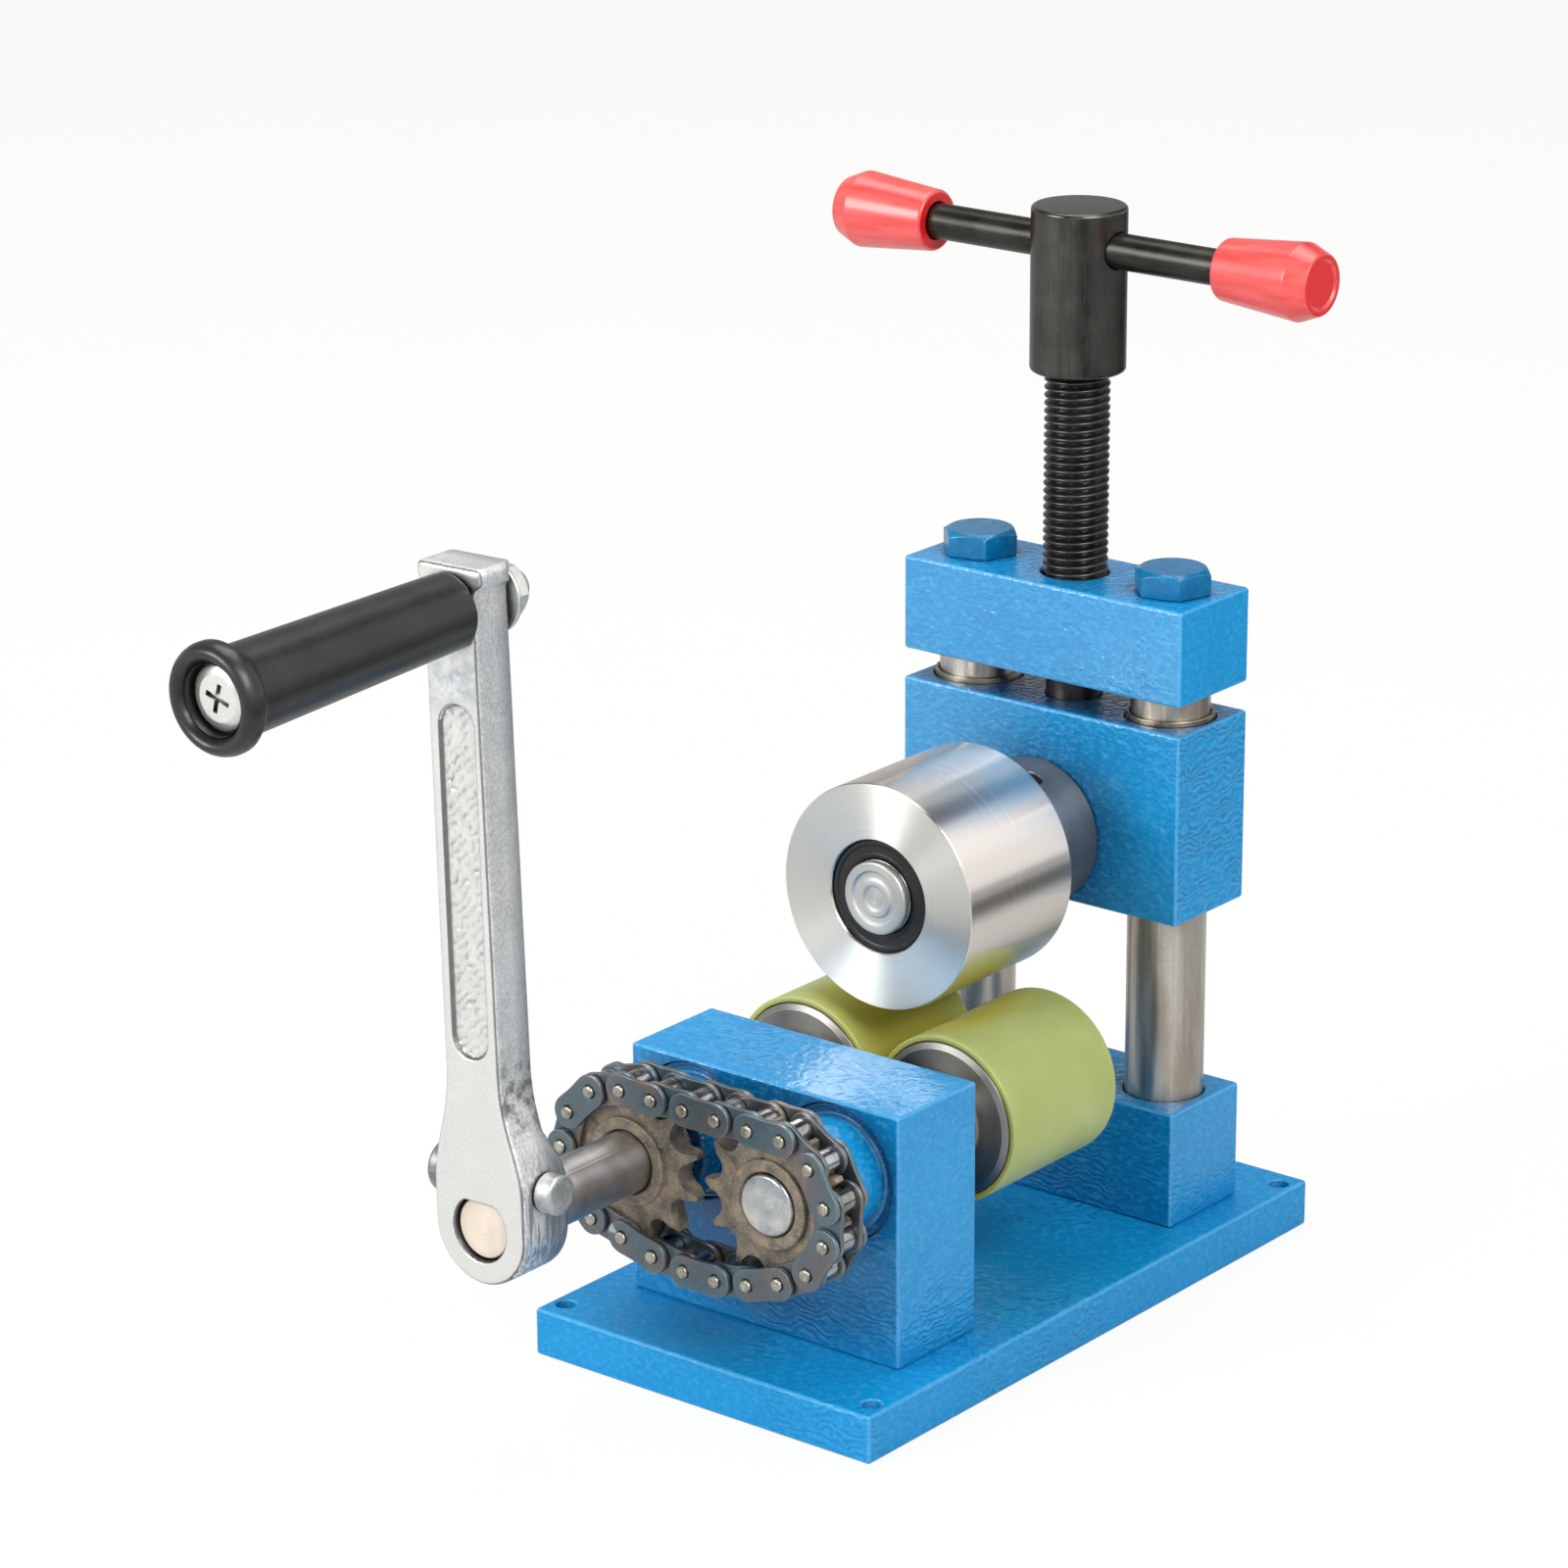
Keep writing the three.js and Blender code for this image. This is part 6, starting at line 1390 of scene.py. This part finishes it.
def add_feed_screw():
    """The screw: a plain neck with its groove, then a right-handed thread."""
    low, high = box("feed_screw")
    radius = half("feed_screw", "x")
    neck, start = radius - NECK_STEP, box("crosshead")[0].z
    core = neck - GROOVE_DEPTH
    below, above = (middle("retaining_pin").z + rise for rise in (-GROOVE_REACH, GROOVE_REACH))

    def deep(z, share):
        phase = ((z - start) / THREAD_PITCH - share) % 1
        cut = THREAD_DEPTH * min(max(abs(phase - 0.5) * 2.6 - 0.25, 0), 1)
        return cut * min((z - start) / THREAD_PITCH, 1)

    rows = int((high.z - start) / THREAD_PITCH * THREAD_ROWS)
    rings = [[(r, z)] * COARSE for r, z in (
        (neck, low.z), (neck, below), (core, below), (core, above), (neck, above), (neck, start - 1.5),
    )]
    for z in (start + (high.z - start) * i / rows for i in range(rows + 1)):
        rings.append([(radius - deep(z, k / COARSE), z) for k in range(COARSE)])
    data = bmesh.new()
    turns = [2 * pi * k / COARSE for k in range(COARSE)]
    spots = [
        [data.verts.new((r * cos(turn), r * sin(turn), z)) for (r, z), turn in zip(ring, turns)]
        for ring in rings
    ]
    for ring, upper in zip(spots, spots[1:]):
        for k in range(COARSE):
            data.faces.new((ring[k - 1], ring[k], upper[k], upper[k - 1]))
    data.faces.new(spots[0])
    data.faces.new(spots[-1])
    bmesh.ops.translate(data, vec=SCREW_AXIS, verts=data.verts)
    stand_in(to_object("mill_feed_screw", data, sharp=60), "screw steel", "feed_screw")


def add_handle():
    """The T-handle: its hub on the screw's head, the bar across it and a knob on either end."""
    low, high = box("handle_hub")
    bar_low, bar_high = box("t_bar")
    radius, bar = half("handle_hub", "x"), half("t_bar")
    bar_axis = (0, COLUMN_Y, middle("t_bar").z)
    socket = pit(half("feed_screw", "x") + GAP, box("feed_screw")[1].z + GAP, low.z - PAST)
    hub = turned("mill_handle_hub", rod(radius, low.z, high.z, 1.0), "Z", SCREW_AXIS, FINE)
    cross = rod(bar + GAP, -radius - PAST, radius + PAST)
    combine(hub, [tool(socket, "Z", SCREW_AXIS), tool(cross, "X", bar_axis)])
    stand_in(hub, "black steel", "handle_hub")
    turn_piece("t_bar", "bar steel", rod(bar, bar_low.x, bar_high.x), "X", bar_axis, edge=0.5)
    for side, sign in (("left", -1), ("right", 1)):
        node = f"knob_{side}"
        low, high = box(node)
        outer = half(node)
        start, end = (low.x, high.x) if sign > 0 else (-high.x, -low.x)
        profile = [
            (bar + GAP, start, 0.3), (outer - 2, start, 0.9), (outer, end - 5.2, 1.2),
            (outer - 2.1, end, 0.6), (outer - 3.4, end, 0.3), (outer - 3.9, end - 0.7, 0.4),
            (0, end - 0.7), (0, bar_high.x + GAP), (bar + GAP, bar_high.x + GAP),
        ]
        turn_piece(node, "knob", [(r, sign * x, *ease) for r, x, *ease in profile], "X", bar_axis, FINE)


# Crank and grip

ARM_EDGE = 1.2
SIDE_RISE = 9            # of the hub's straight sides above the shaft's axis
NECK_START = 38
NECK_WIDTH = 16.2
NECK_SHIFT = 0.4         # of the neck's middle to the left, at its start and its end
NECK_TOP_WIDTH = 15
NECK_TOP_SHIFT = 1.2
TOP_WIDTH = 19.4
TOP_SHIFT = 0.6
TOP_REACH = 9.8
TOP_LIP = 3.6
TOP_FLARE = 5.6
CAP_RADIUS = 4.6
SLOT_WIDTH = 10.4
SLOT_SHIFT = 0.3
SLOT_START = 41
SLOT_END = 124
SLOT_DEPTH = 1.2
SHOULDER_RISE = 11.8     # above the shaft's axis, at the hub's back
SHOULDER_TOP = 22        # and at the arm's back
COTTER_RADIUS = 3.3
COTTER_AXIS = (0, CRANK_FRONT + HUB_THICKNESS / 2, SHAFT_FLAT + GAP + COTTER_RADIUS)
CLEAR_OF_FACE = 0.04     # keeps two joined pieces' faces from lying in one another
HANDLE_BOLT_RADIUS = 4


def bezier(points, steps=14):
    curve = []
    for t in (k / steps for k in range(steps + 1)):
        weights = ((1 - t) ** 3, 3 * t * (1 - t) ** 2, 3 * t * t * (1 - t), t ** 3)
        curve.append(tuple(sum(w * p[i] for w, p in zip(weights, points)) for i in (0, 1)))
    return curve


def arm_outline(inset=0, with_end=True):
    """The arm's outline about the shaft: hub, waist, leaning neck and the wider end."""
    reach = CRANK_LENGTH + TOP_REACH
    low, lip = reach - TOP_FLARE, reach - TOP_LIP
    halves = []
    for sign in (1, -1):
        side = sign * (HUB_RADIUS - inset)
        neck = sign * (NECK_WIDTH / 2 - inset) - NECK_SHIFT
        end = sign * NECK_TOP_WIDTH / 2 - NECK_TOP_SHIFT
        top = sign * TOP_WIDTH / 2 - TOP_SHIFT
        outline = bezier((
            (side, SIDE_RISE), (side, 0.5 * NECK_START), (neck, 0.66 * NECK_START), (neck, NECK_START),
        ))
        if with_end:
            outline += bezier(((end, low - 0.6), (end, low + 1), (top, lip - 1), (top, lip + 0.4)), 6)
            outline += bezier((
                (top, reach - 1.7), (top, reach - 0.5), (top - 0.5 * sign, reach), (top - 1.7 * sign, reach),
            ), 5)
        halves.append(outline)
    return halves[0] + halves[1][::-1] + arc(HUB_RADIUS - inset, pi, pi, 40)


def slot_outline():
    end = SLOT_WIDTH / 2
    lower = arc(end, pi, pi, 16, (-SLOT_SHIFT, SLOT_START + end))
    return lower + arc(end, 0, pi, 16, (-SLOT_SHIFT, SLOT_END - end))


def flatted_bore():
    radius = SHAFT_RADIUS + GAP
    corner = math.asin((SHAFT_FLAT + GAP / 2) / radius)
    return arc(radius, pi - corner, pi + 2 * corner, 48)


def crank_hub(front, back):
    """The hub's full thickness, its shoulder sloping from the hub's back up to the arm's back."""
    outline = arm_outline(CLEAR_OF_FACE, with_end=False)
    hub = to_object("tool", extruded(outline, front + 3, back, rim=ARM_EDGE, steps=4))
    arm_back = front + ARM_THICKNESS
    slope = (SHOULDER_TOP - SHOULDER_RISE) / (back - arm_back)
    above = 2 * NECK_START
    wedge = [
        (back + PAST, SHOULDER_RISE - PAST * slope), (back + PAST, above), (front, above),
        (front, SHOULDER_TOP), (arm_back, SHOULDER_TOP),
    ]
    sideways = Matrix.Rotation(pi / 2, 4, "Z")
    return combine(hub, [prism(wedge, -2 * HUB_RADIUS, 2 * HUB_RADIUS, sideways)])


def add_crank_arm():
    """The forged arm: one remeshed body, so that its joins and edges run softly together."""
    front, back = CRANK_FRONT, CRANK_FRONT + HUB_THICKNESS
    blank = extruded(arm_outline(), front, front + ARM_THICKNESS, rim=ARM_EDGE, steps=4)
    arm = to_object("mill_crank_arm", blank)
    combine(arm, [crank_hub(front, back)], "UNION")
    bolt = rod(HANDLE_BOLT_RADIUS + GAP, -ARM_THICKNESS, ARM_THICKNESS)
    combine(arm, [
        prism(slot_outline(), front - PAST, front + SLOT_DEPTH),
        prism(flatted_bore(), front - PAST, back + PAST),
        tool(rod(COTTER_RADIUS + GAP, -20, 20), "X", COTTER_AXIS, COARSE, 0),
        tool(bolt, facets=COARSE, edge=0, place=CRANK_PLACE.inverted() @ GRIP_PLACE),
    ])
    arm.modifiers.clear()
    grid = arm.modifiers.new("forge", "REMESH")
    grid.mode = "VOXEL"
    grid.voxel_size = 0.45 * MM
    grid.use_smooth_shade = True
    relax = arm.modifiers.new("relax", "SMOOTH")
    relax.factor = 0.5
    relax.iterations = 3
    bake(arm, sharp=180)
    arm.modifiers.clear()
    roughen_slot(arm)
    round_cap(arm)
    arm.data.transform(scaled(CRANK_PLACE))
    stand_in(arm, "zinc", "crank_arm")


def round_cap(arm):
    """Rounds the arm's upper end in plan, with the uneven edge that the forging left."""
    start, back = CRANK_LENGTH + 3, CRANK_FRONT + ARM_THICKNESS
    for vert in arm.data.vertices:
        x, y, z = vert.co / MM
        x += TOP_SHIFT
        out, behind = abs(x) - (TOP_WIDTH / 2 - CAP_RADIUS), y - (back - CAP_RADIUS)
        far = math.hypot(out, behind)
        if z >= start and out > 0 and behind > 0 and far > CAP_RADIUS:
            pull = (1 - CAP_RADIUS / far) * min(1, (z - start) / 2)
            vert.co.x -= math.copysign(out * pull, x) * MM
            vert.co.y -= behind * pull * MM


def roughen_slot(arm):
    """Raises the uneven crossed ribs that the die left on the floor of the slot."""
    edge, floor = SLOT_WIDTH / 2 - 0.5, CRANK_FRONT + SLOT_DEPTH
    for vert in arm.data.vertices:
        x, y, z = vert.co / MM
        x += SLOT_SHIFT
        if abs(x) > edge or abs(y - floor) > 0.3 or not SLOT_START + 0.6 < z < SLOT_END - 0.6:
            continue
        drift = 1.5 * noise.noise((x / 2.6, z / 2.6, 0))
        ribs = sin(2 * pi * (z - 0.9 * x + drift) / 2.9)
        pits = noise.noise((x / 0.9, z / 1.2, 3))
        share = 0.45 + 0.9 * noise.noise((x / 2.2, z / 3.1, 7))
        fade = min(1, (edge - abs(x)) / 0.8)
        vert.co.y -= MM * fade * (0.3 * share * ribs + 0.14 * pits)


def add_cotter():
    """The cotter pin through the hub: a faceted head on the right and a domed nut on the left."""
    seat = HUB_RADIUS + GAP
    end, top = seat + 2, seat + 4.6
    pin, bore = COTTER_RADIUS, COTTER_RADIUS + GAP
    turn_piece("cotter_pin", "dull zinc", [
        (0, -end), (pin, -end, 0.8), (pin, seat, 0.1), (4.7, seat, 0.4), (4.7, top - 0.2, 1.1),
        (3.4, top, 0.4), (0, top),
    ], "X", COTTER_AXIS, place=CRANK_PLACE)
    radius, straight, height = 6.2, 2.6, 5
    dome = [
        (radius * c, -seat - straight - (height - straight) * s, 0) for c, s in arc(1, 0, pi / 2, 16)[:-1]
    ]
    floor = -end - GAP
    turn_piece("cotter_nut", "dark zinc", [
        (0, floor), (bore, floor), (bore, -seat), (radius, -seat, 0.3), *dome, (0, -seat - height),
    ], "X", COTTER_AXIS, place=CRANK_PLACE)


GRIP_LENGTH = 76
GRIP_MOUTH = 3
GRIP_NEAR_RADIUS = 8.8
GRIP_FAR_RADIUS = 10.1
FLANGE_RADIUS = 12.7
FLANGE_LENGTH = 8
HANDLE_HEAD_RADIUS = 7.5
HANDLE_HEAD = 2          # the bolt head's thickness
GRIP_BACK = -ARM_THICKNESS / 2 - 2 * GAP
GRIP_FRONT = GRIP_BACK - GRIP_LENGTH


def add_grip():
    """The sleeve about Y from the middle of the arm's thickness, its flange at the far end."""
    floor = GRIP_FRONT + GRIP_MOUTH + HANDLE_HEAD + GAP
    mouth, bore = HANDLE_HEAD_RADIUS + 2 * GAP, HANDLE_BOLT_RADIUS + GAP
    lip, crest = (FLANGE_RADIUS - mouth) / 2, (FLANGE_RADIUS + mouth) / 2
    profile = [(mouth, floor, 0.2), (mouth, GRIP_FRONT + 0.6, 0.6)]
    for c, s in arc(1, 0, pi, 12)[1:-1]:
        profile.append((crest - lip * c, GRIP_FRONT + FLANGE_LENGTH / 2 * (1 - s), 0))
    for share in (k / 8 for k in range(1, 9)):
        smooth = share * share * (3 - 2 * share)
        radius = FLANGE_RADIUS + (GRIP_FAR_RADIUS - FLANGE_RADIUS) * smooth
        profile.append((radius, GRIP_FRONT + FLANGE_LENGTH / 2 * (1 + share), 0))
    profile += [
        (GRIP_FAR_RADIUS, GRIP_FRONT + FLANGE_LENGTH + 0.5, 0), (GRIP_NEAR_RADIUS, GRIP_BACK, 1.2),
        (bore, GRIP_BACK, 0.3), (bore, floor, 0.2),
    ]
    turn_piece("grip", "grip", profile, "Y", facets=FINE, place=GRIP_PLACE)


def add_handle_bolt():
    """The grip's bolt with a crossed recess in its head, and the flanged nut behind the arm."""
    front = GRIP_FRONT + GRIP_MOUTH
    back = front + HANDLE_HEAD
    head, shank = HANDLE_HEAD_RADIUS, HANDLE_BOLT_RADIUS
    seat = ARM_THICKNESS / 2 + 2 * GAP
    nut_end = seat + 6.4
    tail = nut_end + 3
    bolt = turned("mill_handle_bolt", [
        (0, front), (5.2, front + 0.1, 0.8), (head, front + 1.0, 0.4), (head, back, 0.2), (shank, back, 0.3),
        (shank, tail, 0.9), (0, tail),
    ])
    cuts = []
    for turn in (0, pi / 2):
        cut = rounded_block("tool", (-3.4, front - 2, -0.65), (3.4, front + 1.3, 0.65), 0.3, 2)
        cut.data.transform(Matrix.Rotation(turn + 0.3, 4, "Y"))
        cuts.append(cut)
    combine(bolt, cuts)
    bolt.data.transform(scaled(GRIP_PLACE))
    stand_in(bolt, "zinc", "handle_bolt")
    start, crown = seat + CLEAR_OF_FACE, 1.75
    cone = [
        (0, start), (5.88, start, 0.2), (7.6, start + crown, 0), (7.6, nut_end - crown, 0),
        (5.88, nut_end, 0.2), (0, nut_end),
    ]
    nut = prism(polygon(6, 7), start, nut_end, name="mill_handle_nut")
    cut_back(nut, tool(cone, facets=COARSE), 0.2)
    flange = [(0, seat), (8.7, seat, 0.3), (8.7, seat + 1.0, 0.4), (6.6, seat + 2.4, 0.5), (0, seat + 2.4)]
    combine(nut, [tool(flange)], "UNION")
    combine(nut, [tool(rod(shank + 0.1, seat - PAST, nut_end + PAST), facets=COARSE, edge=0)])
    nut.data.transform(scaled(GRIP_PLACE))
    stand_in(nut, "plain zinc", "handle_nut")


add_studio()
add_base_plate()
add_cap_screws()
add_front_block()
add_bearing_covers()
add_foot_block()
add_slide_block()
add_crosshead()
add_crosshead_bolts()
add_columns()
add_bearings()
add_chain()
add_sprockets()
add_lower_rollers()
add_shafts()
add_pressure_roller()
add_axle()
add_collar()
add_feed_screw()
add_handle()
add_crank_arm()
add_cotter()
add_grip()
add_handle_bolt()

SCENE.view_settings.view_transform = "Standard"
